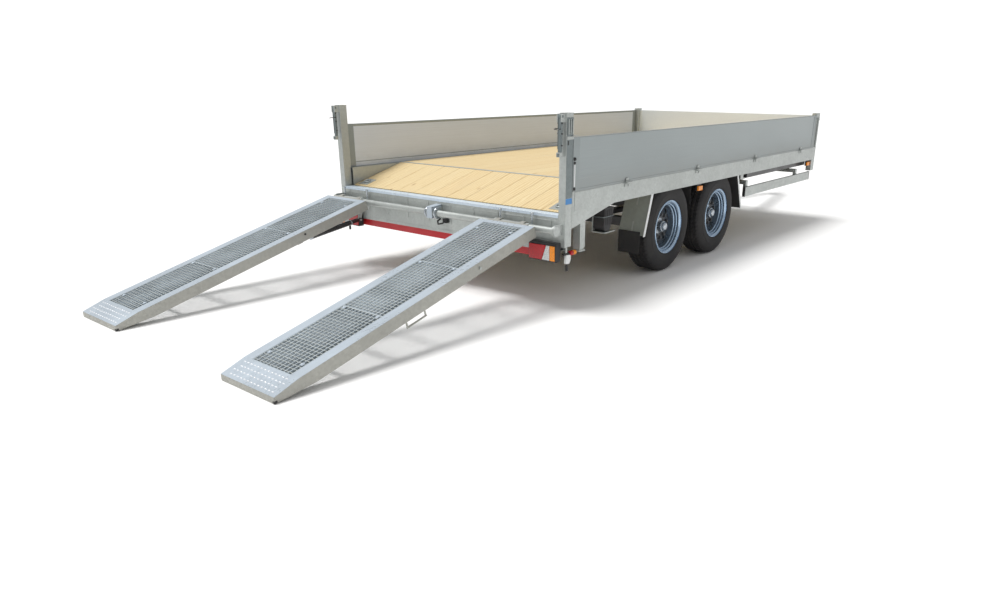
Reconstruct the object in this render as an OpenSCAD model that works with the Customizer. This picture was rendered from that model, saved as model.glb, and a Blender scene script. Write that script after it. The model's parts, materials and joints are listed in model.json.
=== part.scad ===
// Tandem-axle drop-side plant trailer with a sloped rear deck and two sliding loading ramps.
// Millimetres. +X forward to the towing eye, +Y left, +Z up.
// Origin: on the ground, at the middle of the overall length and width.

/* [Overall size] */
// Width over the side boards
overall_w = 2550; // [2100:10:2600]
// Body length, rear posts to front posts
body_l = 5210; // [4200:10:6500]
// Height of the flat deck above the ground
deck_z = 870; // [840:1:1000]
// Height of the drop sides
board_h = 378; // [300:1:500]
// Reach of the towing eye ahead of the rear posts
eye_reach = 7275; // [6800:5:9000]

/* [Rear deck and posts] */
// Length of the sloped rear deck
slope_l = 598; // [450:1:900]
// Drop of the sloped deck over its length
slope_drop = 162; // [120:1:200]
// Height of the rear posts' tops
post_top = 1405; // [1300:5:1700]
// Rear post length along the trailer
post_l = 80; // [60:1:120]
// Rear post width across the trailer
post_w = 60; // [50:1:80]

/* [Frame] */
// Depth of the side rails
rail_h = 140; // [100:1:180]
// Width of the side rails' flanges
rail_w = 70; // [50:1:90]
// Plank thickness
plank_t = 30; // [20:1:40]
// Number of planks across the deck
plank_n = 12; // [8:1:16]
// Depth of the main beams
beam_h = 200; // [160:5:260]
// Distance of each main beam from the centre line
beam_y = 600; // [450:5:700]

/* [Ramps] */
// Ramp width
ramp_w = 530; // [400:5:530]
// Ramp side channel depth
ramp_h = 80; // [60:1:120]
// Left ramp centre inboard of the left side
ramp_in_left = 238; // [238:1:500]
// Right ramp centre inboard of the right side
ramp_in_right = 434; // [250:1:500]
// Reach of the lowered ramps behind the posts
ramp_reach = 2325; // [2200:5:2600]
// Radius of the ramp shaft
shaft_r = 25; // [18:1:26]
// Height of the ramp shaft
shaft_z = 600; // [580:1:620]

/* [Wheels] */
// Tyre diameter
tyre_d = 786; // [680:1:800]
// Tyre width
tyre_w = 235; // [185:1:245]
// Rim flange diameter
rim_d = 470; // [400:1:490]
// First axle ahead of the rear posts
axle_x = 1599; // [1400:1:2000]
// Distance between the axles
axle_gap = 962; // [900:1:1100]

/* [Coupling] */
// Radius of the towing eye's bore
eye_r = 20; // [20:0.5:25]
// Thickness of the towing eye
eye_t = 30; // [30:1:45]

/* [Hidden] */

$fn = 40;
eps = 1;
gap = 0.5;
run_fit = 0.05;
hw = overall_w / 2;
rear_x = -(eye_reach - ramp_reach) / 2;

steel = [0.64, 0.66, 0.65];
dark = [0.16, 0.17, 0.18];
black = [0.07, 0.07, 0.08];
red = [0.6, 0.06, 0.08];
amber = [0.85, 0.45, 0.1];
pine = [0.88, 0.79, 0.58];
alu = [0.6, 0.63, 0.65];

// frame levels
wall = 5;
rail_top = deck_z - 8;
rail_bot = rail_top - rail_h;
plank_edge = hw - rail_w - 2 * wall;
under_deck = deck_z - plank_t;
bearer_h = 50;
bearer_w = 60;
beam_top = under_deck - bearer_h;
beam_bot = beam_top - beam_h;
beam_flange = 90;
beam_web = 8;
beam_end = body_l - bearer_w;
tail_low = rail_bot - 125;
tail_kink = 650;
kink_x = post_l + slope_l;
slope_a = atan(slope_drop / slope_l);
slope_len = slope_l / cos(slope_a);
front_post_l = 100;
front_post_x = body_l - front_post_l;
board_t = 28;
post_foot = 470;
latch_x = -34;
front_foot = rail_bot - 130;
rear_beam_bot = 430;
rear_beam_top = deck_z - slope_drop - 8;

// axles and wheels
wheel_r = tyre_d / 2;
wheel_out = hw - 15;
wheel_in = wheel_out - tyre_w;

axle_sq = 80;
spring_w = 60;
leaf_t = 12;
leaf_n = 4;
spring_half = 440;
spring_y = beam_y;
spindle_r = 30;
drum_r = 150;

// ramps, in the ramp's own axes with the shaft at the origin
ramp_y_left = hw - ramp_in_left;
ramp_y_right = hw - ramp_in_right;
shaft_x = -75;
shaft_half = hw - 23;
bush_r = shaft_r + 5;
lug_r = bush_r + 9;
ramp_top = 40;
ramp_bot = ramp_top - ramp_h;
ramp_start = 52;
lip_l = 178;
tip_h = 36;
reach = ramp_reach + shaft_x;
tip_z = -13;
ramp_a = atan(shaft_z / reach) + asin(tip_z / norm([reach, shaft_z]));
ramp_tip = sqrt(reach * reach + shaft_z * shaft_z - tip_z * tip_z);
tip_back = tip_h * tan(ramp_a);
heel_x = ramp_tip - 270;
bush_half = 170;
lug_y = 98;
side_w = 75;

// lifting struts
strut_side = 150;
strut_arm = 150;
strut_foot = 55;
strut_back = 695;
strut_low = 245;
strut_l = norm([strut_back - strut_foot, strut_low - strut_arm]);
strut_a = atan((strut_low - strut_arm) / (strut_back - strut_foot));
arm_a = atan(strut_foot / strut_arm);
arm_l = norm([strut_foot, strut_arm]);
strut_tube_l = 440;
strut_r = 22;
rod_r = 9;

// hinges of the drop sides
pin_r = 6;
knuckle_r = 12;
hinge_y = hw + 15;
hinge_z = rail_top;
hinge_at = [0.157, 0.391, 0.642, 0.896];
leaf_w = 36;
ear_w = 16;
hinge_leaf = 34;

// leg on the drawbar
root_x = body_l - 700;
nose_x = eye_reach - 330;
leg_x = body_l + 270;
leg_bar_y = 90 + (nose_x - leg_x) * (beam_y - 90) / (nose_x - root_x);
leg_y = leg_bar_y - 136.838;
leg_sq = 80;
ram_sq = 66;

// prop legs under the tail
prop_x = 232;
prop_sq = 64;
prop_leg_sq = 52;
prop_y = hw - 36;
prop_mouth = rail_bot - 290;

module left_and_right() {
  children();
  mirror([0, 1, 0]) children();
}

// plate in the XZ plane from y0 to y1
module xz_plate(y0, y1, pts) {
  translate([0, y1, 0]) rotate([90, 0, 0]) linear_extrude(y1 - y0) polygon(pts);
}

// block given by its lowest corner and its highest corner
module block(a, b) {
  translate(a) cube(b - a);
}

// round bar along Y from y0 to y1
module bar_y(r, y0, y1) {
  translate([0, y1, 0]) rotate([90, 0, 0]) cylinder(r = r, h = y1 - y0);
}

module ring_y(r_out, r_in, y0, y1) {
  difference() {
    bar_y(r_out, y0, y1);
    bar_y(r_in, y0 - eps, y1 + eps);
  }
}

module outer_frame() {
  slope = (rail_bot - tail_low) / (tail_kink - post_l);
  outer = [[post_l, rail_top], [front_post_x, rail_top], [front_post_x, rail_bot],
    [tail_kink, rail_bot], [post_l, tail_low]];
  inner = [[0, rail_top - wall], [body_l, rail_top - wall], [body_l, rail_bot + wall],
    [tail_kink, rail_bot + wall], [0, tail_low + wall - post_l * slope]];
  ps = prop_sq / 2;
  color(steel) translate([rear_x, 0, 0]) {
    left_and_right() difference() {
      union() {
        difference() {
          xz_plate(hw - rail_w, hw, outer);
          xz_plate(hw - rail_w - eps, hw - wall, inner);
        }
        block([prop_x - ps, prop_y - ps, prop_mouth], [prop_x + ps, prop_y + ps, tail_low + 40]);
      }
      block([prop_x - ps + 4, prop_y - ps + 4, 0], [prop_x + ps - 4, prop_y + ps - 4, rail_top - 2 * wall]);
      for (x = [axle_x, axle_x + axle_gap])
        block([x - 0.7 * wheel_r, hw - rail_w - eps, rail_bot - eps],
          [x + 0.7 * wheel_r, hw - wall, rail_bot + 2 * wall]);
    }
    difference() {
      block([beam_end, 60 - hw, rail_bot], [body_l, hw - 60, rail_top]);
      block([beam_end - eps, 50 - hw, rail_bot + wall], [body_l - wall, hw - 50, rail_top - wall]);
    }
  }
}

module tail_frame() {
  arm_end = kink_x - 160;
  z0 = deck_z - slope_drop - plank_t / cos(slope_a) - gap;
  z1 = z0 + (arm_end - post_l) * tan(slope_a);
  arm = [[post_l, rear_beam_bot + 40], [arm_end, beam_bot], [arm_end, z1], [post_l, z0]];
  side_y = plank_edge;
  color(steel) translate([rear_x, 0, 0]) left_and_right() {
    xz_plate(beam_y - 5, beam_y + 5, arm);
    xz_plate(side_y, side_y + 4, [[post_l, deck_z - slope_drop - 60], [post_l, rail_top], [kink_x, rail_top],
      [kink_x, rail_top - 70]]);
    for (d = [200, 360]) translate([kink_x, 0, deck_z]) rotate([0, -slope_a, 0])
      block([d - slope_len, 0, -plank_t - 40 - gap], [d + 40 - slope_len, side_y, -plank_t - gap]);
  }
}

module cross_members() {
  first = kink_x + 30;
  span = beam_end - first - bearer_w;
  n = 8;
  color(steel) translate([rear_x, 0, beam_top]) for (i = [0 : n]) {
    translate([first + i * span / n, -plank_edge, 0]) difference() {
      cube([bearer_w, 2 * plank_edge, bearer_h]);
      translate([wall, -eps, wall])
        cube([bearer_w - 2 * wall, 2 * plank_edge + 2 * eps, bearer_h - 2 * wall]);
    }
  }
}

module main_beams() {
  x0 = kink_x - 160;
  color(steel) translate([rear_x, 0, 0]) left_and_right() difference() {
    block([x0, beam_y - beam_flange / 2, beam_bot], [beam_end, beam_y + beam_flange / 2, beam_top]);
    for (s = [-1, 1])
      translate([x0 - eps, beam_y + s * beam_flange / 2 - (beam_flange - beam_web) / 2, beam_bot + 10])
        cube([beam_end - x0 + 2 * eps, beam_flange - beam_web, beam_h - 20]);
  }
}

module rear_beam() {
  h = rear_beam_top - rear_beam_bot;
  y1 = hw - post_w;
  rib_n = 9;
  color(steel) translate([rear_x, 0, 0]) {
    difference() {
      block([0, -y1, rear_beam_bot], [post_l, y1, rear_beam_top]);
      block([wall, -y1 - eps, rear_beam_bot + wall], [post_l - wall, y1 + eps, rear_beam_top - wall]);
    }
    for (i = [0 : rib_n]) translate([-6, -y1 + 60 + i * (2 * y1 - 130) / rib_n, rear_beam_bot + 80])
      cube([6, 10, h - 110]);
  }
}

module rear_posts() {
  y0 = hw - post_w;
  color(steel) translate([rear_x, 0, 0]) left_and_right() {
    difference() {
      block([0, y0, post_foot], [post_l, hw, post_top]);
      block([4, y0 + 4, post_foot - eps], [post_l - 4, hw - 4, post_top - 4]);
    }
    difference() {
      for (y = [y0 + 8, y0 + 42]) block([-48, y, post_top - 60], [0, y + 8, post_top - 5]);
      translate([latch_x, 0, post_top - 22]) bar_y(9 + run_fit, y0, hw);
    }
  }
}

module front_posts() {
  color(steel) translate([rear_x, 0, 0]) left_and_right() difference() {
    block([front_post_x, hw - 60, front_foot], [body_l, hw, rail_top + board_h + 25]);
    block([front_post_x + 4, hw - 56, front_foot - eps], [body_l - 4, hw - 4, rail_top + board_h + 21]);
  }
}

module deck_planks() {
  pitch = 2 * plank_edge / plank_n;
  color(pine) translate([rear_x, 0, 0]) for (i = [0 : plank_n - 1])
    block([kink_x + 5, -plank_edge + i * pitch + 1.5, under_deck],
      [beam_end - 2, -plank_edge + (i + 1) * pitch - 1.5, deck_z]);
}

module slope_planks() {
  pitch = 2 * plank_edge / plank_n;
  color(pine) translate([rear_x + kink_x, 0, deck_z]) rotate([0, -slope_a, 0])
    for (i = [0 : plank_n - 1]) translate([-slope_len + 2, -plank_edge + i * pitch + 1.5, -plank_t])
      cube([slope_len - 18, pitch - 3, plank_t]);
}

module kink_strip() {
  color(steel) translate([rear_x + kink_x, 0, deck_z]) {
    block([0, -plank_edge, -plank_t], [4, plank_edge, 1.5]);
    rotate([0, -slope_a, 0]) block([-15, -plank_edge, -6], [1, plank_edge, 1.5]);
  }
}

module lashing_points() {
  color(steel) translate([rear_x + kink_x, 0, deck_z]) rotate([0, -slope_a, 0]) left_and_right()
    translate([-slope_len + 90, plank_edge - 90, 0]) {
      block([-60, -60, 0], [60, 60, 4]);
      translate([0, 0, 10]) rotate_extrude() translate([28, 0]) circle(r = 6, $fn = 16);
    }
}

module front_board() {
  x0 = body_l - 45;
  color(alu) translate([rear_x, 0, 0])
    block([x0, 60 - hw, rail_top], [x0 + board_t, hw - 60, rail_top + board_h]);
}

module drawbar() {
  bar_a = atan((beam_y - 90) / (nose_x - root_x));
  bar_l = norm([nose_x - root_x, beam_y - 90]);
  z0 = beam_bot - 120;
  color(steel) translate([rear_x, 0, 0]) {
    difference() {
      union() {
        left_and_right() translate([root_x, beam_y, z0]) rotate([0, 0, -bar_a]) difference() {
          translate([0, -40, 0]) cube([bar_l, 80, 120]);
          translate([-eps, -34, 6]) cube([bar_l + 2 * eps, 68, 108]);
        }
        block([nose_x - 110, -130, z0 + 2], [nose_x + 40, 130, z0 + 118]);
        block([leg_x - 60, -leg_bar_y + 22, z0 + 20], [leg_x - 40, leg_bar_y - 22, z0 + 100]);
      }
      block([nose_x + 40, -300, z0 - eps], [nose_x + 400, 300, z0 + 121]);
    }
  }
}

module towing_eye() {
  root = eye_reach - 290;
  cx = eye_reach - 52;
  color(dark) translate([rear_x, 0, beam_bot - 60]) difference() {
    union() {
      block([root, -70, -60], [root + 22, 70, 60]);
      block([root, -24, -eye_t / 2], [cx, 24, eye_t / 2]);
      translate([cx, 0, -eye_t / 2]) cylinder(r = 52, h = eye_t, $fn = 64);
    }
    translate([cx, 0, -eye_t]) cylinder(r = eye_r, h = 2 * eye_t, $fn = 64);
  }
}

module axle_beams() {
  half = wheel_in - 20;
  color(dark) translate([rear_x, 0, wheel_r]) for (x = [axle_x, axle_x + axle_gap]) translate([x, 0, 0]) {
    block([-axle_sq / 2, -half, -axle_sq / 2], [axle_sq / 2, half, axle_sq / 2]);
    left_and_right() {
      bar_y(drum_r - 5, half, half + 8);
      bar_y(spindle_r, half, wheel_out - 45);
    }
  }
}

module leaf_springs() {
  color(dark) translate([rear_x, 0, wheel_r + axle_sq / 2]) for (x = [axle_x, axle_x + axle_gap])
    left_and_right() for (i = [0 : leaf_n - 1])
      translate([x - spring_half + i * 70, spring_y - spring_w / 2, (leaf_n - 1 - i) * leaf_t])
        cube([2 * spring_half - i * 140, spring_w, leaf_t]);
}

module spring_hangers() {
  top = beam_bot;
  bot = wheel_r + axle_sq / 2 + leaf_n * leaf_t;
  mid = axle_x + axle_gap / 2;
  color(dark) translate([rear_x, 0, 0]) left_and_right() {
    for (x = [axle_x - spring_half + 30, mid, axle_x + axle_gap + spring_half - 30])
      xz_plate(spring_y - 40, spring_y + 40, [[x - 70, top], [x - 40, bot], [x + 40, bot], [x + 70, top]]);
    for (x = [axle_x, axle_x + axle_gap])
      block([x - 50, spring_y - 36, bot], [x + 50, spring_y + 36, bot + 14]);
  }
}

module ramp_shaft() {
  color(steel) translate([rear_x + shaft_x, 0, shaft_z]) left_and_right() {
    bar_y(shaft_r, 0, shaft_half);
    ring_y(shaft_r + 12, shaft_r, 32, 56);
  }
}

module shaft_brackets() {
  r = shaft_r + 15;
  color(steel) translate([rear_x + shaft_x, 0, shaft_z]) {
    for (y = [-32, 18, shaft_half - 14, -shaft_half]) difference() {
      union() {
        bar_y(r, y, y + 14);
        block([0, y, -r], [-shaft_x, y + 14, r]);
      }
      bar_y(shaft_r, y - eps, y + 14 + eps);
    }
    left_and_right() bar_y(r - 2, shaft_half, shaft_half + 8);
  }
}

module board_hinge_brackets() {
  color(dark) translate([rear_x, 0, 0]) left_and_right() for (t = hinge_at)
    translate([t * body_l, hinge_y, hinge_z]) rotate([0, 90, 0]) {
      translate([0, 0, -leaf_w / 2 - ear_w]) cylinder(r = pin_r, h = leaf_w + 2 * ear_w);
      for (z = [-leaf_w / 2 - ear_w, leaf_w / 2 + gap]) {
        translate([0, 0, z]) cylinder(r = knuckle_r, h = ear_w - gap);
        translate([0, hw - hinge_y, z]) cube([hinge_leaf, 6, ear_w - gap]);
        translate([0, hw - hinge_y, z]) cube([knuckle_r - 2, hinge_y - hw, ear_w - gap]);
      }
    }
}

module board_hinges() {
  color(dark) translate([rear_x, 0, 0]) for (t = hinge_at)
    translate([t * body_l, hinge_y, hinge_z]) rotate([0, 90, 0]) difference() {
      union() {
        translate([0, 0, -leaf_w / 2 + gap]) cylinder(r = knuckle_r, h = leaf_w - 2 * gap);
        translate([-hinge_leaf, hw - hinge_y, -leaf_w / 2 + gap]) cube([hinge_leaf - 4, 6, leaf_w - 2 * gap]);
      }
      translate([0, 0, -leaf_w]) cylinder(r = pin_r + run_fit, h = 2 * leaf_w);
    }
}

module left_board_hinges() {
  board_hinges();
}

module right_board_hinges() {
  mirror([0, 1, 0]) board_hinges();
}

module side_board() {
  z0 = rail_top + gap;
  color(alu) translate([rear_x, 0, 0])
    block([post_l + 4, hw - board_t, z0], [front_post_x - 4, hw, rail_top + board_h]);
}

module left_board() {
  side_board();
}

module right_board() {
  mirror([0, 1, 0]) side_board();
}

// lever that holds the front end of a drop side to its post
module board_latch() {
  top = rail_top + board_h - 40;
  color(steel) translate([rear_x + front_post_x + 45, hw + gap, top]) {
    translate([0, 18, 0]) rotate([90, 0, 0]) cylinder(r = 16, h = 18);
    block([-13, 4, -320], [13, 12, 0]);
    block([-20, 4, -330], [20, 12, -320]);
  }
}

module left_board_latch() {
  board_latch();
}

module right_board_latch() {
  mirror([0, 1, 0]) board_latch();
}

// drop lever that catches a raised ramp, hung in a fork on its post
module post_latch() {
  y0 = hw - post_w + 16.5;
  color(steel) translate([rear_x + latch_x, y0, post_top - 22]) {
    bar_y(9, -8, 33);
    bar_y(14, 2, 23);
    block([-8, 0, -270], [8, 25, -4]);
    block([-26, 3, -268], [0, 22, -246]);
  }
}

module left_post_latch() {
  post_latch();
}

module right_post_latch() {
  mirror([0, 1, 0]) post_latch();
}

module underrun_bar() {
  color(red) translate([rear_x, 0, 0]) {
    difference() {
      block([20, 125 - hw, rear_beam_bot - 60], [70, hw - 125, rear_beam_bot]);
      block([24, -hw, rear_beam_bot - 56], [66, hw, rear_beam_bot - 4]);
    }
  }
}

module rear_lamps() {
  color(red) translate([rear_x, 0, 0]) left_and_right() {
    block([-58, hw - 285, 368], [-2, hw - 35, 505]);
    block([-66, hw - 280, 375], [-58, hw - 150, 480]);
    block([-66, hw - 146, 375], [-58, hw - 100, 480]);
    block([-66, hw - 96, 375], [-58, hw - 40, 480]);
    block([-2, hw - 250, 480], [0, hw - 90, 500]);
  }
}

module marker_lamps() {
  lamp_at = [axle_x + axle_gap / 2 + 80, body_l - 150];
  color(amber) translate([rear_x, 0, 0]) left_and_right() {
    translate([0, hw - 6, 0]) {
      translate([40, 0, post_foot - 60]) rotate([0, 90, 0]) cylinder(r = 12, h = 90);
      block([72, -12, post_foot - 60], [88, 12, post_foot]);
      block([60, -8, post_foot - 3], [80, 6, post_foot]);
      translate([100, 0, post_foot - 60]) rotate([0, 90, 0]) cylinder(r1 = 24, r2 = 30, h = 60);
    }
    for (x = lamp_at) {
      block([x - 40, hw - 40, rail_bot - 68], [x + 40, hw - 18, rail_bot - 22]);
      block([x - 10, hw - 18, rail_bot - 60], [x + 10, hw - 12, rail_bot]);
    }
  }
}

module guard_panels() {
  y0 = wheel_in - 20;
  y1 = hw - 8;
  t = 4;
  lean = 105;
  back = axle_x - 0.84 * wheel_r;
  front = axle_x + axle_gap + wheel_r + 10;
  rake = 150;
  top = rail_bot;
  bot = rail_bot - 345;
  mid = axle_x + axle_gap / 2;
  color(dark) translate([rear_x, 0, 0]) left_and_right() {
    xz_plate(y0, y1, [[back, top], [back - lean, bot], [back - lean - t, bot], [back - t, top]]);
    xz_plate(y1, y1 + t, [[back, top], [back - lean, bot], [back - lean - 28, bot], [back - 28, top]]);
    xz_plate(y0, y1, [[front, top], [front + rake, bot], [front + rake + t, bot], [front + t, top]]);
    xz_plate(y1, y1 + t, [[front, top], [front + rake, bot], [front + rake + 24, bot], [front + 24, top]]);
    block([mid - 2, y0, top - 190], [mid + 2, hw - rail_w, beam_top - 4]);
  }
}

module mud_flaps() {
  y0 = wheel_in - 15;
  x = axle_x - 0.84 * wheel_r - 105 - 4;
  bot = rail_bot - 345;
  color(black) translate([rear_x, 0, 0]) left_and_right()
    block([x - 8, y0, bot - 160], [x, y0 + 210, bot + 30]);
}

module side_guards() {
  x0 = axle_x + axle_gap + 620;
  x1 = body_l - 110;
  top = rail_bot - 140;
  color(steel) translate([rear_x, 0, 0]) left_and_right() {
    block([x0, hw - 30, top - 96], [x1, hw - 5, top]);
    for (x = [x0 + 60, x1 - 420]) {
      block([x, beam_y + beam_web / 2, beam_bot + 12], [x + 50, hw - 60, beam_bot + 52]);
      block([x, hw - 60, top - 90], [x + 50, hw - 30, beam_bot + 52]);
    }
  }
}

module chock_holders() {
  x = tail_kink - 10;
  y = hw - 85;
  color(steel) translate([rear_x + x, 0, 0]) left_and_right() {
    block([-75, y - 62, rail_bot - 235], [75, y - 56, rail_bot - 60]);
    block([-75, y - 56, rail_bot - 235], [75, y + 56, rail_bot - 229]);
    block([12, y - 62, rail_bot - 62], [52, y - 56, rail_bot]);
    block([12, y - 62, rail_bot - 6], [52, y + 30, rail_bot]);
  }
}

// wheel chock standing on its point in the holder
module chock() {
  x = tail_kink - 10;
  y = hw - 85;
  z = rail_bot - 229 + gap;
  pts = [[-70, 0], [30, 0], [70, 190], [-62, 190]];
  color(black) translate([rear_x + x, 0, z]) xz_plate(y - 55, y + 49, pts);
}

module left_chock() {
  chock();
}

module right_chock() {
  mirror([0, 1, 0]) chock();
}

module leg_tube() {
  z0 = beam_bot - 260;
  h = 530;
  color(dark) translate([rear_x + leg_x, leg_y, 0]) {
    difference() {
      block([-leg_sq / 2, -leg_sq / 2, z0], [leg_sq / 2, leg_sq / 2, z0 + h]);
      block([5 - leg_sq / 2, 5 - leg_sq / 2, z0 - eps], [leg_sq / 2 - 5, leg_sq / 2 - 5, z0 + h - 6]);
    }
    translate([0, 0, z0 + h - 60]) rotate([0, 90, 0]) cylinder(r = 14, h = leg_sq / 2 + 30);
  }
}

module leg_ram() {
  color(steel) translate([rear_x + leg_x, leg_y, 0]) {
    block([-100, -75, 0], [100, 75, 10]);
    difference() {
      block([-ram_sq / 2, -ram_sq / 2, 10], [ram_sq / 2, ram_sq / 2, beam_bot - 110]);
      block([5 - ram_sq / 2, 5 - ram_sq / 2, 20], [ram_sq / 2 - 5, ram_sq / 2 - 5, beam_bot]);
    }
  }
}

module leg_crank() {
  z = beam_bot + 210;
  x = leg_sq / 2 + 30 + gap;
  color(dark) translate([rear_x + leg_x + x, leg_y, z]) rotate([0, 90, 0]) {
    cylinder(r = 18, h = 12);
    translate([0, -10, 2]) cube([170, 20, 8]);
    translate([160, 0, 10]) cylinder(r = 11, h = 110);
  }
}

module prop_leg() {
  r = prop_leg_sq / 2;
  foot = prop_mouth - 24;
  color(steel) translate([rear_x + prop_x, prop_y, 0]) {
    block([-36, -34, foot], [36, 34, foot + 10]);
    difference() {
      block([-r, -r, foot + 10], [r, r, rail_top - 50]);
      block([4 - r, 4 - r, foot + 20], [r - 4, r - 4, rail_top]);
    }
  }
}

module left_prop_leg() {
  prop_leg();
}

module right_prop_leg() {
  mirror([0, 1, 0]) prop_leg();
}

// bush that slides on the shaft and carries a ramp and its strut, s = side of the strut
module slide_bush(yc, s) {
  r = 16;
  color(dark) translate([rear_x + shaft_x, yc, shaft_z]) {
    difference() {
      union() {
        bar_y(bush_r, -bush_half, bush_half);
        translate([0, s * strut_side, 0]) rotate([0, arm_a, 0]) {
          bar_y(lug_r, -7, 7);
          block([-r, -7, -arm_l], [r, 7, 0]);
          translate([0, 0, -arm_l]) bar_y(r, -7, 7);
        }
      }
      bar_y(shaft_r + run_fit, -bush_half - eps, bush_half + eps);
    }
    translate([-strut_foot, s * strut_side, -strut_arm]) bar_y(8, -30, 30);
  }
}

module left_slide_bush() {
  slide_bush(ramp_y_left, -1);
}

module right_slide_bush() {
  slide_bush(-ramp_y_right, 1);
}

// places a ramp piece: shaft at the origin, ramp running to -X
module at_ramp(yc) {
  translate([rear_x + shaft_x, yc, shaft_z]) rotate([0, -ramp_a, 0]) children();
}

module ramp_frame(yc, s) {
  half = ramp_w / 2;
  deck_end = -ramp_tip + lip_l;
  side = [[-ramp_start, ramp_top], [-ramp_start, ramp_bot], [-heel_x, ramp_bot], [-ramp_tip, tip_z],
    [tip_back - ramp_tip, tip_z + tip_h], [deck_end, ramp_top]];
  hollow = [[-ramp_start + eps, ramp_top - wall], [-ramp_start + eps, ramp_bot + wall],
    [20 - heel_x, ramp_bot + wall], [20 - heel_x, ramp_top - wall]];
  lip = [[deck_end, ramp_top], [tip_back - ramp_tip, tip_z + tip_h], [-ramp_tip, tip_z],
    [6 - ramp_tip, tip_z], [tip_back + 5 - ramp_tip, tip_z + tip_h - 7], [deck_end, ramp_top - 8]];
  strut_x = -(strut_back * cos(ramp_a) + strut_low * sin(ramp_a));
  strut_z = strut_back * sin(ramp_a) - strut_low * cos(ramp_a);
  color(steel) at_ramp(yc) {
    left_and_right() {
      difference() {
        xz_plate(half - side_w, half, side);
        xz_plate(half - side_w - eps, half - wall, hollow);
      }
      difference() {
        union() {
          bar_y(lug_r, lug_y, lug_y + 40);
          block([-ramp_start - 30, lug_y, -24], [0, lug_y + 40, ramp_top]);
        }
        bar_y(bush_r + run_fit, lug_y - eps, lug_y + 40 + eps);
      }
    }
    xz_plate(side_w - half, half - side_w, lip);
    block([-ramp_start - 48, side_w - half, ramp_top - 6], [-ramp_start, half - side_w, ramp_top]);
    block([-ramp_start - 40, side_w - half, ramp_bot + 10], [-ramp_start - 30, half - side_w, ramp_top - 6]);
    block([-ramp_start - 2, side_w - half, ramp_top - 5], [-ramp_start + 22, half - side_w, ramp_top]);
    for (x = [-400, -1150, -1500, -1850])
      block([x - 30, wall - half, ramp_bot + 8], [x, half - wall, ramp_top - 30]);
    for (y = [s * strut_side - 24, s * strut_side + 18])
      xz_plate(y, y + 6, [[strut_x - 45, ramp_top - 30], [strut_x - 25, strut_z - 18],
        [strut_x + 25, strut_z - 18], [strut_x + 45, ramp_top - 30]]);
    for (x = [strut_x - 45, strut_x + 38])
      block([x, wall - half, ramp_top - 36], [x + 7, half - wall, ramp_top - 30]);
    translate([0, -s * half, 0]) handle(s * 12);
  }
}

// grab handle below the outer side channel
module handle(y) {
  z0 = ramp_bot;
  for (x = [-1360, -1200]) translate([x, y, z0 - 42]) cylinder(r = 6, h = 45);
  translate([-1366, y, z0 - 42]) rotate([0, 90, 0]) cylinder(r = 6, h = 172);
}

module left_ramp_frame() {
  ramp_frame(ramp_y_left, -1);
}

module right_ramp_frame() {
  ramp_frame(-ramp_y_right, 1);
}

module ramp_grating(yc) {
  half = ramp_w / 2 - side_w - gap;
  x0 = -ramp_tip + lip_l + 1;
  x1 = -ramp_start - 50;
  n = 26;
  m = 5;
  z0 = ramp_top - 28;
  color(dark) at_ramp(yc) {
    for (i = [0 : n]) translate([x0 + i * (x1 - x0 - 5) / n, -half, z0 + 8]) cube([5, 2 * half, 20]);
    for (i = [0 : m]) translate([x0, -half + i * (2 * half - 5) / m, z0]) cube([x1 - x0, 5, 8]);
  }
}

module left_ramp_grating() {
  ramp_grating(ramp_y_left);
}

module right_ramp_grating() {
  ramp_grating(-ramp_y_right);
}

// places a strut piece: its foot pivot at the origin, strut running to -X
module at_strut(yc, s) {
  translate([rear_x + shaft_x - strut_foot, yc + s * strut_side, shaft_z - strut_arm])
    rotate([0, -strut_a, 0]) children();
}

module strut_tube(yc, s) {
  color(black) at_strut(yc, s) difference() {
    union() {
      translate([-90 - strut_tube_l, 0, 0]) rotate([0, 90, 0]) cylinder(r = strut_r, h = strut_tube_l);
      for (y = [-18, 8]) block([-94, y, -12], [0, y + 10, 12]);
      for (y = [-18, 8]) bar_y(14, y, y + 10);
    }
    translate([-91 - strut_tube_l, 0, 0]) rotate([0, 90, 0])
      cylinder(r = rod_r + run_fit, h = strut_tube_l - 20);
    bar_y(8 + run_fit, -40, 40);
  }
}

module left_strut_tube() {
  strut_tube(ramp_y_left, -1);
}

module right_strut_tube() {
  strut_tube(-ramp_y_right, 1);
}

module strut_rod(yc, s) {
  rod_in = 150;
  color(steel) at_strut(yc, s) {
    translate([-strut_l + 12, 0, 0]) rotate([0, 90, 0]) cylinder(r = rod_r, h = strut_l - 12 - rod_in);
    translate([-strut_l, 0, 0]) bar_y(16, -14, 14);
    translate([-strut_l - 230, 0, 0]) rotate([0, 90, 0]) cylinder(r = 7, h = 220);
  }
}

module left_strut_rod() {
  strut_rod(ramp_y_left, -1);
}

module right_strut_rod() {
  strut_rod(-ramp_y_right, 1);
}

// tyre section turned about the axle, outer face at y = wheel_out
module tyre() {
  r = wheel_r;
  b = rim_d / 2 - 12;
  w = tyre_w;
  f = rim_d / 2 + 1;
  pts = [[b, 18], [f, 15.5], [f + 16, 4], [r - 60, 0], [r - 22, 12], [r - 4, 30], [r, 60],
    [r, w - 60], [r - 4, w - 30], [r - 22, w - 12], [r - 60, w], [f + 16, w - 4], [f, w - 15.5], [b, w - 18],
    [b - 14, w - 22], [b - 14, w - 40],
    [b, w - 44], [r - 26, w - 40], [r - 26, 40], [b, 44], [b - 14, 40], [b - 14, 22]];
  color(dark) rotate([90, 0, 0]) rotate_extrude($fn = 72) polygon(pts);
}

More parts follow.
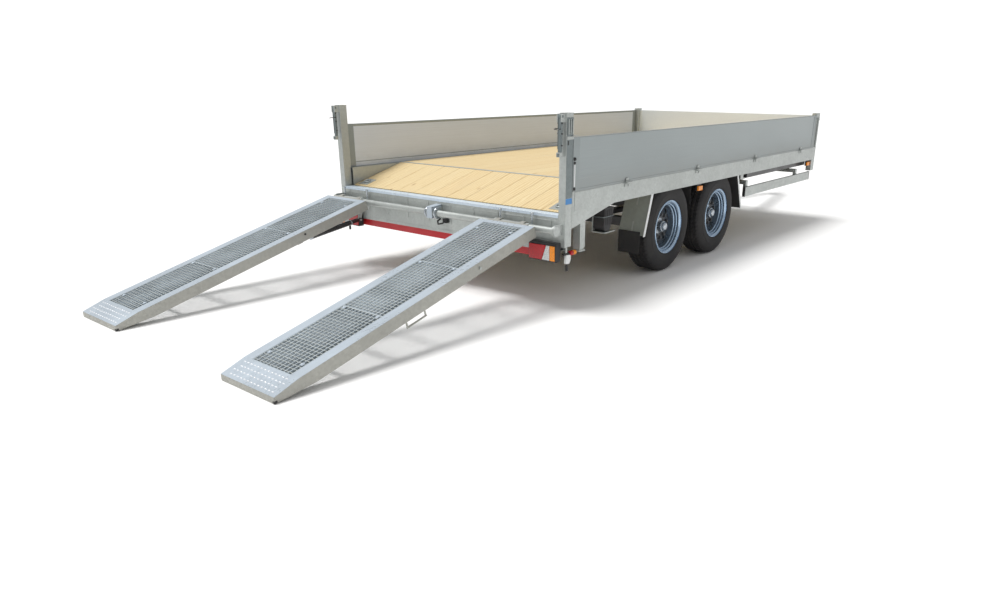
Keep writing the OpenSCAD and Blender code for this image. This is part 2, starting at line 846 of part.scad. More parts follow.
module rim() {
  f = rim_d / 2;
  b = f - 27;
  w = tyre_w;
  bore = spindle_r + run_fit;
  pts = [[f, 6], [f, 14], [b + 1, 21], [b + 1, w - 21], [f, w - 14], [f, w - 6],
    [b - 7, w - 12], [b - 7, 100],
    [drum_r + 8, 134], [drum_r, 134], [drum_r, w - 9], [drum_r - 20, w - 9], [drum_r - 20, 150], [bore, 150],
    [bore, 40], [0, 40], [0, 32], [40, 32], [44, 60], [44, 104], [80, 104], [80, 118], [drum_r, 118],
    [b - 15, 86], [b - 15, 12]];
  holes = 8;
  color(steel) rotate([90, 0, 0]) {
    difference() {
      rotate_extrude($fn = 72) polygon(pts);
      for (i = [0 : holes - 1])
        rotate([0, 0, i * 360 / holes]) translate([172, 0, 40]) cylinder(r = 16, h = 120);
    }
    for (i = [0 : 9]) rotate([0, 0, i * 36]) translate([105, 0, 96]) cylinder(r = 13, h = 23, $fn = 6);
  }
}

module at_wheel(i) {
  translate([rear_x + axle_x + i * axle_gap, wheel_out, wheel_r]) children();
}

module left_rear_tyre() {
  at_wheel(0) tyre();
}

module right_rear_tyre() {
  mirror([0, 1, 0]) at_wheel(0) tyre();
}

module left_front_tyre() {
  at_wheel(1) tyre();
}

module right_front_tyre() {
  mirror([0, 1, 0]) at_wheel(1) tyre();
}

module left_rear_rim() {
  at_wheel(0) rim();
}

module right_rear_rim() {
  mirror([0, 1, 0]) at_wheel(0) rim();
}

module left_front_rim() {
  at_wheel(1) rim();
}

module right_front_rim() {
  mirror([0, 1, 0]) at_wheel(1) rim();
}

outer_frame();
tail_frame();
cross_members();
main_beams();
rear_beam();
rear_posts();
front_posts();
deck_planks();
slope_planks();
kink_strip();
lashing_points();
front_board();
drawbar();
towing_eye();
axle_beams();
leaf_springs();
spring_hangers();
ramp_shaft();
shaft_brackets();
board_hinge_brackets();
underrun_bar();
rear_lamps();
marker_lamps();
guard_panels();
mud_flaps();
side_guards();
chock_holders();
leg_tube();
leg_ram();
leg_crank();
left_prop_leg();
right_prop_leg();
left_chock();
right_chock();
left_board();
right_board();
left_board_hinges();
right_board_hinges();
left_board_latch();
right_board_latch();
left_post_latch();
right_post_latch();
left_slide_bush();
right_slide_bush();
left_ramp_frame();
right_ramp_frame();
left_ramp_grating();
right_ramp_grating();
left_strut_tube();
right_strut_tube();
left_strut_rod();
right_strut_rod();
left_rear_tyre();
right_rear_tyre();
left_front_tyre();
right_front_tyre();
left_rear_rim();
right_rear_rim();
left_front_rim();
right_front_rim();
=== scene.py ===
"""Looks for a flat bed trailer with a sloped tail and two loading ramps.

Laid out as an add-on and run as a script: one operator per group of pieces, all
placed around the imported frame, in metres, with +X forwards and +Z up.
"""
import json
import math

import bmesh
import bpy
import numpy as np
from bpy.props import FloatProperty, FloatVectorProperty, IntProperty, PointerProperty
from mathutils import Matrix, Vector


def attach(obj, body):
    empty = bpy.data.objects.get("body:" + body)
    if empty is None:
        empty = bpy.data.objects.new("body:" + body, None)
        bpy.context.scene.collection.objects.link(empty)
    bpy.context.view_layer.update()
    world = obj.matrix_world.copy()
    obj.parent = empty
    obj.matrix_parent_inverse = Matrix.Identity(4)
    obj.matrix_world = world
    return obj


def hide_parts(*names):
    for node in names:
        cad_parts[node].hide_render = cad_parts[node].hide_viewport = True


bl_info = {
    "name": "Flat bed ramp trailer",
    "version": (1, 0, 0),
    "blender": (4, 5, 0),
    "location": "3D View > Sidebar > Trailer",
    "description": "Builds the visible pieces and finishes of a ramp trailer around its frame",
    "category": "Add Mesh",
}

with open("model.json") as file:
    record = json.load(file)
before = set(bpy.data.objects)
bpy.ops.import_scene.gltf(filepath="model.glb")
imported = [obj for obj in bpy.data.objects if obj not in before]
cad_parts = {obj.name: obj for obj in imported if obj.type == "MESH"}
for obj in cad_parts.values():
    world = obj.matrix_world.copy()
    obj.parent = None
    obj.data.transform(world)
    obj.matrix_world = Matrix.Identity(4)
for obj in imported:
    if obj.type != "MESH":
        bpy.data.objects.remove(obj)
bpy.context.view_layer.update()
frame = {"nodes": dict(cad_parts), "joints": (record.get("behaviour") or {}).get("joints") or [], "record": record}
JOINT = {j["name"]: j for j in frame["joints"]}
SLOT_OF = {s["node"]: s["material_slot"] for s in frame["record"]["subparts"]}

TAU = 2 * math.pi
SIDES = (("left", 1), ("right", -1))
SHAFT = Vector(JOINT["left_ramp_lift"]["pos_m"])
REAR = SHAFT.x + 0.075
HALF = 1.275
RAIL_BOT = 0.722
PLANK_EDGE = 1.195
PLANK_COUNT = 12
KINK = REAR + 0.678
RAMP_TILT = math.atan2(SHAFT.z, 2.25) + math.asin(-0.013 / 2.3286)
RAMP_HALF = 0.265
RAMP_TIP = -2.3286
RAMP_LIP = 0.178
RAMP_TOP = 0.040
CHANNEL = 0.075
TIP_BOTTOM = -0.013
TIP_HEIGHT = 0.036
WHEEL_R = 0.393
WHEEL_OUT = 1.260
REAR_AXLE = 1.599
AXLE_GAP = 0.962
SKIN = 0.0012
WELD = 1e-6
MARKERS = (REAR + 2.160, REAR + 5.060)
CATCH_X = REAR - 0.034
SPREAD_PIN_X = SHAFT.x + 0.047
FLOOR_HALF = 60.0
FLOOR_Z = -0.002
ROOM_LIGHT = 0.52
ROOM_SEEN = 1.10
KEY_HEADING = Vector((0.20, -0.30, -1.0))
EYE = (-6.6835, -4.3417, 1.5974)
EYE_YAW, EYE_PITCH, EYE_ROLL = (math.radians(a) for a in (38.728, -19.949, 0.2445))


# --------------------------------------------------------------------- sizes and colours

class TrailerSizes(bpy.types.PropertyGroup):
    """Sizes of the visible detail."""
    mesh_along: FloatProperty(name="Grating pitch along", unit="LENGTH", default=0.030,
                              description="Distance between the cross wires of the ramp gratings")
    mesh_across: FloatProperty(name="Grating pitch across", unit="LENGTH", default=0.034,
                               description="Distance between the long bars of the ramp gratings")
    tread_depth: FloatProperty(name="Tread depth", unit="LENGTH", default=0.009,
                               description="Depth of the grooves round the tyres")
    tread_blocks: IntProperty(name="Tread blocks", default=60,
                              description="Blocks round each tyre")
    stud_height: FloatProperty(name="Stud height", unit="LENGTH", default=0.0045,
                               description="Height of the raised dashes on the ramp lips")
    edge_round: FloatProperty(name="Edge rounding", unit="LENGTH", default=0.002,
                              description="Rounding of folded steel edges")


class TrailerColours(bpy.types.PropertyGroup):
    """Colours of the finishes."""
    zinc: FloatVectorProperty(name="Galvanised steel", subtype="COLOR", default=(0.50, 0.53, 0.515),
                              description="Dull zinc of the frame and the ramps")
    sheet: FloatVectorProperty(name="Side sheet", subtype="COLOR", default=(0.30, 0.335, 0.34),
                               description="Smooth sheet of the boards")
    pine: FloatVectorProperty(name="Pine", subtype="COLOR", default=(0.74, 0.62, 0.38),
                              description="Light wood of the planks")
    black: FloatVectorProperty(name="Black steel", subtype="COLOR", default=(0.030, 0.031, 0.034),
                               description="Paint of axles, springs and struts")
    red: FloatVectorProperty(name="Red paint", subtype="COLOR", default=(0.52, 0.004, 0.010),
                             description="Paint of the underrun bar")
    tyre: FloatVectorProperty(name="Tyre rubber", subtype="COLOR", default=(0.013, 0.013, 0.015),
                              description="Rubber of the tyres")
    # The blue in this silver is a painted reflection of the blue highlights on the lower rims.
    rim: FloatVectorProperty(name="Rim paint with painted reflection", subtype="COLOR", default=(0.40, 0.52, 0.66),
                             description="Silver paint of the rims")


def sizes():
    return bpy.context.scene.trailer_sizes


def colours():
    return bpy.context.scene.trailer_colours


# --------------------------------------------------------------------- finishes

class Finish:
    """A named material and short ways of adding nodes to it."""

    def __init__(self, name, rough=0.5, metallic=0.0, coat=0.0, specular=0.5):
        self.material = bpy.data.materials.new(name)
        self.material.use_nodes = True
        self.tree = self.material.node_tree
        self.shader = self.tree.nodes["Principled BSDF"]
        self.shader.inputs["Roughness"].default_value = rough
        self.shader.inputs["Metallic"].default_value = metallic
        self.shader.inputs["Coat Weight"].default_value = coat
        self.shader.inputs["Specular IOR Level"].default_value = specular
        self.place = self.add("ShaderNodeTexCoord").outputs["Object"]

    def add(self, kind, links=(), **values):
        node = self.tree.nodes.new(kind)
        for key, value in values.items():
            setattr(node, key, value)
        for key, source in dict(links).items():
            self.feed(node.inputs[key], source)
        return node

    def feed(self, socket, source):
        if isinstance(source, bpy.types.NodeSocket):
            self.tree.links.new(source, socket)
        else:
            socket.default_value = source

    def stretched(self, scale):
        return self.add("ShaderNodeMapping", {"Vector": self.place, "Scale": scale}).outputs["Vector"]

    def noise(self, vector, scale, detail=4.0, rough=0.5, warp=0.0):
        return self.add("ShaderNodeTexNoise", {"Vector": vector, "Scale": scale, "Detail": detail,
                                               "Roughness": rough, "Distortion": warp}).outputs["Fac"]

    def cells(self, vector, scale, output="Distance", feature="F1"):
        return self.add("ShaderNodeTexVoronoi", {"Vector": vector, "Scale": scale},
                        feature=feature).outputs[output]

    def math(self, operation, a, b=0.0):
        return self.add("ShaderNodeMath", {0: a, 1: b}, operation=operation).outputs[0]

    def remap(self, value, low, high, to_low=0.0, to_high=1.0):
        return self.add("ShaderNodeMapRange", {"Value": value, "From Min": low, "From Max": high,
                                               "To Min": to_low, "To Max": to_high}).outputs["Result"]

    def mix(self, factor, a, b):
        node = self.add("ShaderNodeMix", data_type="RGBA")
        for index, value in ((0, factor), (6, a), (7, b)):
            self.feed(node.inputs[index], value)
        return node.outputs[2]

    def split(self):
        return self.add("ShaderNodeSeparateXYZ", {0: self.place}).outputs

    def bump(self, height, distance, strength=1.0, under=None):
        links = {"Height": height, "Distance": distance, "Strength": strength}
        if under is not None:
            links["Normal"] = under
        return self.add("ShaderNodeBump", links).outputs["Normal"]

    def done(self, colour=None, rough=None, normal=None):
        for key, source in (("Base Color", colour), ("Roughness", rough), ("Normal", normal)):
            if source is not None:
                self.feed(self.shader.inputs[key], source)
        return self.material


def rgba(colour, gain=1.0):
    return tuple(min(1.0, c * gain) for c in colour) + (1.0,)


def zinc(name, colour, rough=0.42, metallic=0.55, scale=1.0, dirt=0.18):
    """Hot-dip zinc: crystal spangle cells, slow cloudy stains, pale drips and a fine pitted surface."""
    f = Finish(name, rough, metallic)
    flake = f.cells(f.stretched((1, 1, 1)), 70 * scale, "Color")
    flake = f.add("ShaderNodeSeparateColor", {0: flake}).outputs[0]
    cloud = f.noise(f.stretched((1, 1, 1)), 2.2 * scale, 6, 0.62, 0.4)
    drip = f.noise(f.stretched((9, 9, 0.8)), 2.0 * scale, 4, 0.6)
    tone = f.mix(f.remap(cloud, 0.35, 0.7), rgba(colour, 1 - dirt), rgba(colour, 1 + 0.4 * dirt))
    tone = f.mix(f.remap(flake, 0.0, 1.0, 0.0, 0.22), tone, rgba(colour, 0.72))
    tone = f.mix(f.remap(drip, 0.58, 0.8, 0.0, 0.35), tone, rgba(colour, 1.22))
    gloss = f.math("ADD", f.remap(flake, 0, 1, rough - 0.10, rough + 0.10),
                   f.remap(cloud, 0.3, 0.7, -0.05, 0.07))
    fine = f.noise(f.stretched((1, 1, 1)), 320 * scale, 3)
    normal = f.bump(fine, 0.0006, 0.35, f.bump(cloud, 0.006, 0.25))
    return f.done(tone, gloss, normal)


def sheet(name, colour, rough=0.38):
    """Rolled side sheet: long brushed streaks, slow dents and a faint road film low down."""
    f = Finish(name, rough, 0.45)
    streak = f.noise(f.stretched((0.7, 40, 60)), 3.0, 4, 0.6)
    cloud = f.noise(f.stretched((0.6, 1, 1.6)), 1.6, 3, 0.5)
    film = f.remap(f.split()[2], 0.87, 1.02, 0.35, 0.0)
    film = f.math("MULTIPLY", film, f.remap(f.noise(f.stretched((2, 2, 5)), 3.5, 6, 0.65), 0.3, 0.75))
    tone = f.mix(f.remap(streak, 0.3, 0.7), rgba(colour, 0.94), rgba(colour, 1.05))
    tone = f.mix(f.remap(cloud, 0.35, 0.7, 0.0, 0.6), tone, rgba(colour, 0.90))
    tone = f.mix(film, tone, (0.40, 0.38, 0.34, 1))
    gloss = f.math("ADD", f.remap(streak, 0.3, 0.7, rough - 0.05, rough + 0.05),
                   f.math("MULTIPLY", film, 0.5))
    fine = f.noise(f.stretched((6, 220, 220)), 4.0, 2)
    normal = f.bump(fine, 0.0004, 0.3, f.bump(cloud, 0.010, 0.3))
    return f.done(tone, gloss, normal)


def planks(name, colour):
    """Sawn pine: each plank has its own tone, growth lines run along it, with a few small knots."""
    f = Finish(name, 0.62, 0.0, specular=0.3)
    x, y, z = f.split()
    row = f.math("FLOOR", f.math("MULTIPLY", f.math("ADD", y, PLANK_EDGE), PLANK_COUNT / (2 * PLANK_EDGE)))
    tail = f.math("LESS_THAN", x, KINK)
    seed = f.math("ADD", row, f.math("MULTIPLY", tail, 31.0))
    luck = f.add("ShaderNodeTexWhiteNoise", {"W": seed}, noise_dimensions="1D").outputs["Value"]
    shift = f.add("ShaderNodeCombineXYZ", {0: f.math("ADD", x, f.math("MULTIPLY", luck, 17.0)),
                                           1: f.math("ADD", y, f.math("MULTIPLY", luck, 5.0)),
                                           2: z}).outputs[0]

    def along(sx, sy):
        return f.add("ShaderNodeMapping", {"Vector": shift, "Scale": (sx, sy, sy)}).outputs["Vector"]

    wander = f.noise(along(0.9, 3.0), 1.6, 3, 0.5)
    rings = f.add("ShaderNodeTexWave", {"Vector": along(0.10, 1.0), "Scale": 11.0, "Distortion": 9.0,
                                        "Detail": 3.0, "Detail Scale": 0.8, "Phase Offset": wander},
                  wave_type="BANDS", bands_direction="Y").outputs["Fac"]
    fibre = f.noise(along(1.2, 60.0), 3.0, 5, 0.65)
    knot = f.cells(along(1.7, 6.5), 1.0, "Distance")
    knot = f.remap(knot, 0.035, 0.10, 1.0, 0.0)

    def darker(red, green, blue):
        return rgba((colour[0] * red, colour[1] * green, colour[2] * blue))

    tone = f.mix(f.remap(rings, 0.25, 1.0, 0.0, 0.75), rgba(colour, 1.05), darker(0.83, 0.72, 0.58))
    tone = f.mix(f.remap(fibre, 0.35, 0.75, 0.0, 0.4), tone, darker(0.80, 0.70, 0.55))
    tone = f.mix(f.remap(luck, 0, 1, 0.0, 0.35), tone, darker(0.86, 0.74, 0.62))
    tone = f.mix(f.math("MULTIPLY", knot, 0.8), tone, (0.26, 0.12, 0.045, 1))
    scuff = f.remap(f.noise(f.stretched((1, 2.5, 1)), 1.3, 6, 0.7), 0.55, 0.8, 0.0, 0.25)
    tone = f.mix(scuff, tone, (0.52, 0.46, 0.36, 1))
    gloss = f.remap(fibre, 0.3, 0.7, 0.52, 0.72)
    height = f.math("ADD", f.math("MULTIPLY", rings, -0.4), fibre)
    normal = f.bump(height, 0.0012, 0.55)
    return f.done(tone, gloss, normal)


def paint(name, colour, rough=0.4, coat=0.25, dust=0.3, pits=180.0):
    """Sprayed paint on steel: orange-peel bumps, dust in soft patches and small worn flecks."""
    f = Finish(name, rough, 0.0, coat)
    patch = f.noise(f.stretched((1, 1, 1)), 5.0, 6, 0.6)
    fleck = f.noise(f.stretched((1, 1, 1)), 60.0, 5, 0.7)
    dusty = tuple(0.7 * c + 0.3 * g for c, g in zip(colour, (0.30, 0.28, 0.25)))
    tone = f.mix(f.remap(patch, 0.4, 0.75, 0.0, dust), rgba(colour), rgba(dusty))
    tone = f.mix(f.remap(fleck, 0.66, 0.75, 0.0, 0.5), tone, rgba(dusty, 1.2))
    gloss = f.remap(patch, 0.3, 0.75, rough - 0.08, rough + 0.18)
    normal = f.bump(f.noise(f.stretched((1, 1, 1)), pits, 2), 0.0006, 0.4)
    return f.done(tone, gloss, normal)


def rubber(name, colour, rough=0.75):
    """Moulded rubber: mottled grey bloom, pale dust and a fine grained skin."""
    f = Finish(name, rough, 0.0, specular=0.35)
    bloom = f.noise(f.stretched((1, 1, 1)), 7.0, 6, 0.65)
    grain = f.noise(f.stretched((1, 1, 1)), 260.0, 3)
    tone = f.mix(f.remap(bloom, 0.35, 0.75, 0.0, 0.5), rgba(colour), rgba((0.075, 0.072, 0.068)))
    gloss = f.remap(bloom, 0.3, 0.7, rough - 0.12, rough + 0.12)
    return f.done(tone, gloss, f.bump(grain, 0.0008, 0.5))


def lens(name, colour, glow=0.0):
    """Moulded lamp lens: clear gloss over small square prisms pressed in its back."""
    f = Finish(name, 0.22, 0.0, 0.15)
    cell = f.cells(f.stretched((1, 1, 1)), 140.0, "Distance", "F1")
    tone = f.mix(f.remap(cell, 0.1, 0.7), rgba(colour, 1.15), rgba(colour, 0.7))
    f.shader.inputs["Emission Color"].default_value = rgba(colour)
    f.shader.inputs["Emission Strength"].default_value = glow
    return f.done(tone, None, f.bump(cell, 0.0015, 0.5))


FINISH = {}


def make_finishes():
    """Makes every finish once, by the name of the record's material slot or of a special skin."""
    c = colours()
    # Inner faces of the boards get the side sheet made much lighter and bluer: painted light on the faces turned
    # into the trailer.
    inner = tuple(0.54 + gain + 0.45 * v for gain, v in zip((0.0, 0.03, 0.09), c.sheet))
    FINISH.update({
        "galvanised": zinc("galvanised steel", c.zinc),
        # Lighter, bluer copy of the galvanised zinc for top faces (ramp flanges and lips, grating clips, shaft
        # strap): painted highlight.
        "zinc_bright": zinc("bright zinc flange", (0.50, 0.57, 0.64), 0.36, 0.25, 1.0, 0.10),
        "zinc_dark": zinc("dark zinc stanchion", (0.20, 0.235, 0.24), 0.38, 0.35, 1.0, 0.2),
        # Darker, warmer copy of the galvanised zinc for the sides of the ramp channels and the tip faces: painted
        # shade, against the painted highlight on the tops.
        "zinc_warm": zinc("side of ramp channel", (0.42, 0.42, 0.385), 0.48, 0.4, 1.0, 0.12),
        "pine": planks("sawn pine", c.pine),
        "side_sheet": sheet("rolled side sheet", c.sheet),
        "inner_sheet": sheet("inner side sheet", inner, 0.5),
        # Front board: the side sheet made near white, painted light on its face towards the rear.
        "front_sheet": sheet("front board sheet", (0.88, 0.94, 1.0), 0.5),
        "chassis_paint": paint("black chassis paint", c.black, 0.42),
        "grating_steel": zinc("pressed grating", (0.52, 0.59, 0.64), 0.42, 0.3, 2.0, 0.2),
        "strut_paint": paint("gloss strut paint", (0.012, 0.012, 0.014), 0.22, 0.6, 0.12),
        "red_paint": paint("red bar paint", c.red, 0.38, 0.1, 0.04),
        "lamp_red": lens("red lens", (0.45, 0.001, 0.008), 0.10),
        "lamp_amber": lens("amber lens", (0.90, 0.28, 0.01), 0.12),
        "lamp_clear": lens("clear lens", (0.72, 0.74, 0.74)),
        "black_plastic": paint("black moulded plastic", (0.020, 0.020, 0.022), 0.55, 0.0, 0.2, 420.0),
        "flap_rubber": rubber("flap rubber", (0.018, 0.018, 0.020)),
        "tyre_rubber": rubber("tyre rubber", c.tyre, 0.70),
        # Rim silver tinted blue: painted reflection over the silver paint.
        "rim_silver": paint("silver rim paint", c.rim, 0.24, 0.1, 0.08, 260.0),
        # Disc paint made near black: painted shade inside the deep dish.
        "rim_dark": paint("shaded rim disc", (0.035, 0.040, 0.048), 0.45, 0.2, 0.25, 260.0),
        "hub_steel": zinc("polished hub", (0.48, 0.52, 0.56), 0.22, 0.85, 2.0, 0.1),
        "guard_sheet": zinc("mill finish guard sheet", (0.34, 0.37, 0.34), 0.45, 0.25, 0.5, 0.15),
        # Pale blue copy of the zinc for the top of the rear beam: painted highlight.
        "edge_bright": zinc("bright top edge", (0.66, 0.76, 0.86), 0.36, 0.1, 1.0, 0.08),
        "stud_bright": zinc("worn studs", (0.86, 0.89, 0.93), 0.30, 0.25, 2.0, 0.05),
        "white_edge": paint("white edging", (0.80, 0.82, 0.82), 0.45, 0.1, 0.15),
        "blue_band": paint("blue tape", (0.03, 0.22, 0.55), 0.4, 0.2, 0.1),
    })
    FINISH["rim_silver"].node_tree.nodes["Principled BSDF"].inputs["Metallic"].default_value = 0.9


# --------------------------------------------------------------------- shapes

def ring_faces(rows, cols, close_rows=True, close_cols=True):
    """Quads of a rows by cols grid of points, closed round either way: (i, j) joins its next neighbours."""
    i = np.arange(rows if close_rows else rows - 1)[:, None]
    j = np.arange(cols if close_cols else cols - 1)[None, :]
    a = i * cols + j
    b = ((i + 1) % rows) * cols + j
    c = ((i + 1) % rows) * cols + (j + 1) % cols
    d = i * cols + (j + 1) % cols
    return np.stack([a, b, c, d], -1).reshape(-1, 4)


def boxes(low, high):
    """Many boxes at once: the corners of each are its low and high corner taken in all eight mixes."""
    low, high = np.atleast_2d(np.asarray(low, float)), np.atleast_2d(np.asarray(high, float))
    pick = np.array([[i & 1, i >> 1 & 1, i >> 2 & 1] for i in range(8)], bool)
    verts = np.where(pick[None], high[:, None], low[:, None]).reshape(-1, 3)
    quads = np.array([[0, 2, 3, 1], [4, 5, 7, 6], [0, 1, 5, 4], [2, 6, 7, 3], [0, 4, 6, 2], [1, 3, 7, 5]])
    return verts, (quads[None] + 8 * np.arange(len(low))[:, None, None]).reshape(-1, 4)


def turned(outline, around, centre, wave=None):
    """A closed outline of (radius, y) points turned about a Y axle: x = r cos a, z = r sin a.
    wave(a, r, y) may change r point by point."""
    r, y = np.asarray(outline, float).T
    a = np.linspace(0, TAU, around, endpoint=False)[:, None]
    rr = np.broadcast_to(r, (around, len(r)))
    if wave is not None:
        rr = rr + wave(a, rr, y[None, :])
    verts = np.stack([rr * np.cos(a), np.broadcast_to(y, rr.shape), rr * np.sin(a)], -1).reshape(-1, 3)
    return verts + np.asarray(centre), ring_faces(around, len(r))


def swept(path, radius, sides=12):
    """A round bar: a circle carried along a path, square to it at each point, with a flat cap on each end."""
    p = np.asarray(path, float)
    along = np.gradient(p, axis=0)
    along /= np.linalg.norm(along, axis=1)[:, None]
    up = np.array([0, 0, 1.0]) if abs(along[:, 2]).max() < 0.9 else np.array([0, 1.0, 0])
    if abs(along @ up).max() > 0.95:
        up = np.array([1.0, 0, 0])
    side = np.cross(along, up)
    side /= np.linalg.norm(side, axis=1)[:, None]
    top = np.cross(side, along)
    a = np.linspace(0, TAU, sides, endpoint=False)
    circle = np.cos(a)[None, :, None] * side[:, None] + np.sin(a)[None, :, None] * top[:, None]
    verts = p[:, None] + radius * circle
    faces = ring_faces(len(p), sides, False).tolist()
    faces += [list(range(sides))[::-1], [(len(p) - 1) * sides + k for k in range(sides)]]
    return verts.reshape(-1, 3), faces


def prism(outline, start, end, axis):
    """A flat outline carried straight from start to end along an axis, closed at both ends."""
    o = np.asarray(outline, float)
    n = len(o)
    keep = [k for k in range(3) if k != axis]
    verts = np.zeros((2, n, 3))
    verts[:, :, keep] = o[None]
    verts[0, :, axis], verts[1, :, axis] = start, end
    faces = ring_faces(2, n, False).tolist() + [list(range(n))[::-1], list(range(n, 2 * n))]
    return verts.reshape(-1, 3), faces


def domes(centres, size, rows=4, around=8):
    """Half ellipsoids, one for each centre: x = a sin u cos v, y = b sin u sin v, z = c cos u."""
    u = np.linspace(0, math.pi / 2, rows)[:, None]
    v = np.linspace(0, TAU, around, endpoint=False)[None, :]
    one = np.stack([size[0] * np.sin(u) * np.cos(v), size[1] * np.sin(u) * np.sin(v),
                    size[2] * np.cos(u) + 0 * v], -1).reshape(-1, 3)
    centres = np.asarray(centres, float)
    verts = (centres[:, None] + one[None]).reshape(-1, 3)
    grid = ring_faces(rows, around, False)
    base = np.arange(len(centres))[:, None, None] * len(one)
    faces = (grid[None] + base).reshape(-1, 4).tolist()
    last = (rows - 1) * around
    faces += [[k * len(one) + last + j for j in range(around)] for k in range(len(centres))]
    return verts, faces


def moved(shape, matrix):
    """A shape carried through a 4 by 4 matrix."""
    m = np.array(matrix)
    return shape[0] @ m[:3, :3].T + m[:3, 3], shape[1]


def mirrored(shape, sign):
    """A shape on the side of the given sign of Y."""
    return shape[0] * np.array([1, sign, 1]), shape[1]


def piece(name, body, skins, stands_for=(), bevel=0.0, smooth=35.0):
    """Joins shapes into one object that rides on a body. skins is a list of (finish name, [shapes])."""
    mesh = bpy.data.meshes.new(name)
    verts, faces, index, count = [], [], [], 0
    for k, (_, shapes) in enumerate(skins):
        for points, quads in shapes:
            verts.append(points)
            faces += [[v + count for v in q] for q in (quads.tolist() if hasattr(quads, "tolist") else quads)]
            index += [k] * (len(faces) - len(index))
            count += len(points)
    mesh.from_pydata(np.concatenate(verts).tolist(), [], faces)
    for skin, _ in skins:
        mesh.materials.append(FINISH[skin])
    mesh.polygons.foreach_set("material_index", index)
    work = bmesh.new()
    work.from_mesh(mesh)
    bmesh.ops.remove_doubles(work, verts=work.verts, dist=WELD)
    bmesh.ops.recalc_face_normals(work, faces=work.faces)
    work.to_mesh(mesh)
    work.free()
    mesh.shade_smooth()
    mesh.set_sharp_from_angle(angle=math.radians(smooth))
    thing = bpy.data.objects.new(name, mesh)
    bpy.context.scene.collection.objects.link(thing)
    if bevel:
        soften(thing, bevel)
    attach(thing, body)
    if stands_for:
        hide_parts(*stands_for)
    return thing


def soften(thing, width):
    """Rounds the hard edges of a piece by a width."""
    rounding = thing.modifiers.new("rounded edges", "BEVEL")
    rounding.width = width
    rounding.segments = 2
    rounding.limit_method = "ANGLE"
    rounding.angle_limit = math.radians(40)
    rounding.use_clamp_overlap = True


def on_ramp(side):
    """Matrix from a ramp's own axes, shaft at the origin and ramp towards -X, to the trailer's."""
    place = Vector(JOINT[side + "_ramp_lift"]["pos_m"])
    return Matrix.Translation(place) @ Matrix.Rotation(-RAMP_TILT, 4, "Y")


# --------------------------------------------------------------------- operators

class Step(bpy.types.Operator):
    """Base of the building steps."""
    bl_options = {"REGISTER", "UNDO"}

    def execute(self, context):
        self.build()
        return {"FINISHED"}


class TRAILER_OT_finishes(Step):
    """Makes the finishes and gives every frame node its own"""
    bl_idname = "trailer.finishes"
    bl_label = "Finishes"

    def build(self):
        make_finishes()
        # The front board takes the near-white sheet copy with painted light.
        special = {"front_board": "front_sheet", "board_hinge_brackets": "galvanised",
                   "front_posts": "galvanised"}
        for side, _ in SIDES:
            special[f"{side}_post_latch"] = "zinc_dark"
            special[f"{side}_board_hinges"] = "galvanised"
            # Ramp channels take the zinc copy with painted shade.
            special[f"{side}_ramp_frame"] = "zinc_warm"
        for name, thing in frame["nodes"].items():
            thing.data.materials.clear()
            thing.data.materials.append(FINISH[special.get(name, SLOT_OF[name])])


class TRAILER_OT_soft_edges(Step):
    """Welds and rounds the folded edges of the steel and wooden nodes that stay in view"""
    bl_idname = "trailer.soft_edges"
    bl_label = "Rounded edges"

    def build(self):
        rounded = ["outer_frame", "tail_frame", "cross_members", "main_beams", "rear_beam", "rear_posts",
                   "front_posts", "kink_strip", "front_board", "drawbar", "axle_beams", "leaf_springs",
                   "spring_hangers", "underrun_bar", "side_guards", "leg_tube", "leg_ram",
                   "left_prop_leg", "right_prop_leg", "deck_planks", "slope_planks"]
        for name in rounded:
            thing = frame["nodes"][name]
            weld = thing.modifiers.new("weld", "WELD")
            weld.merge_threshold = 1e-5
            soften(thing, 0.004 if "planks" in name else sizes().edge_round)


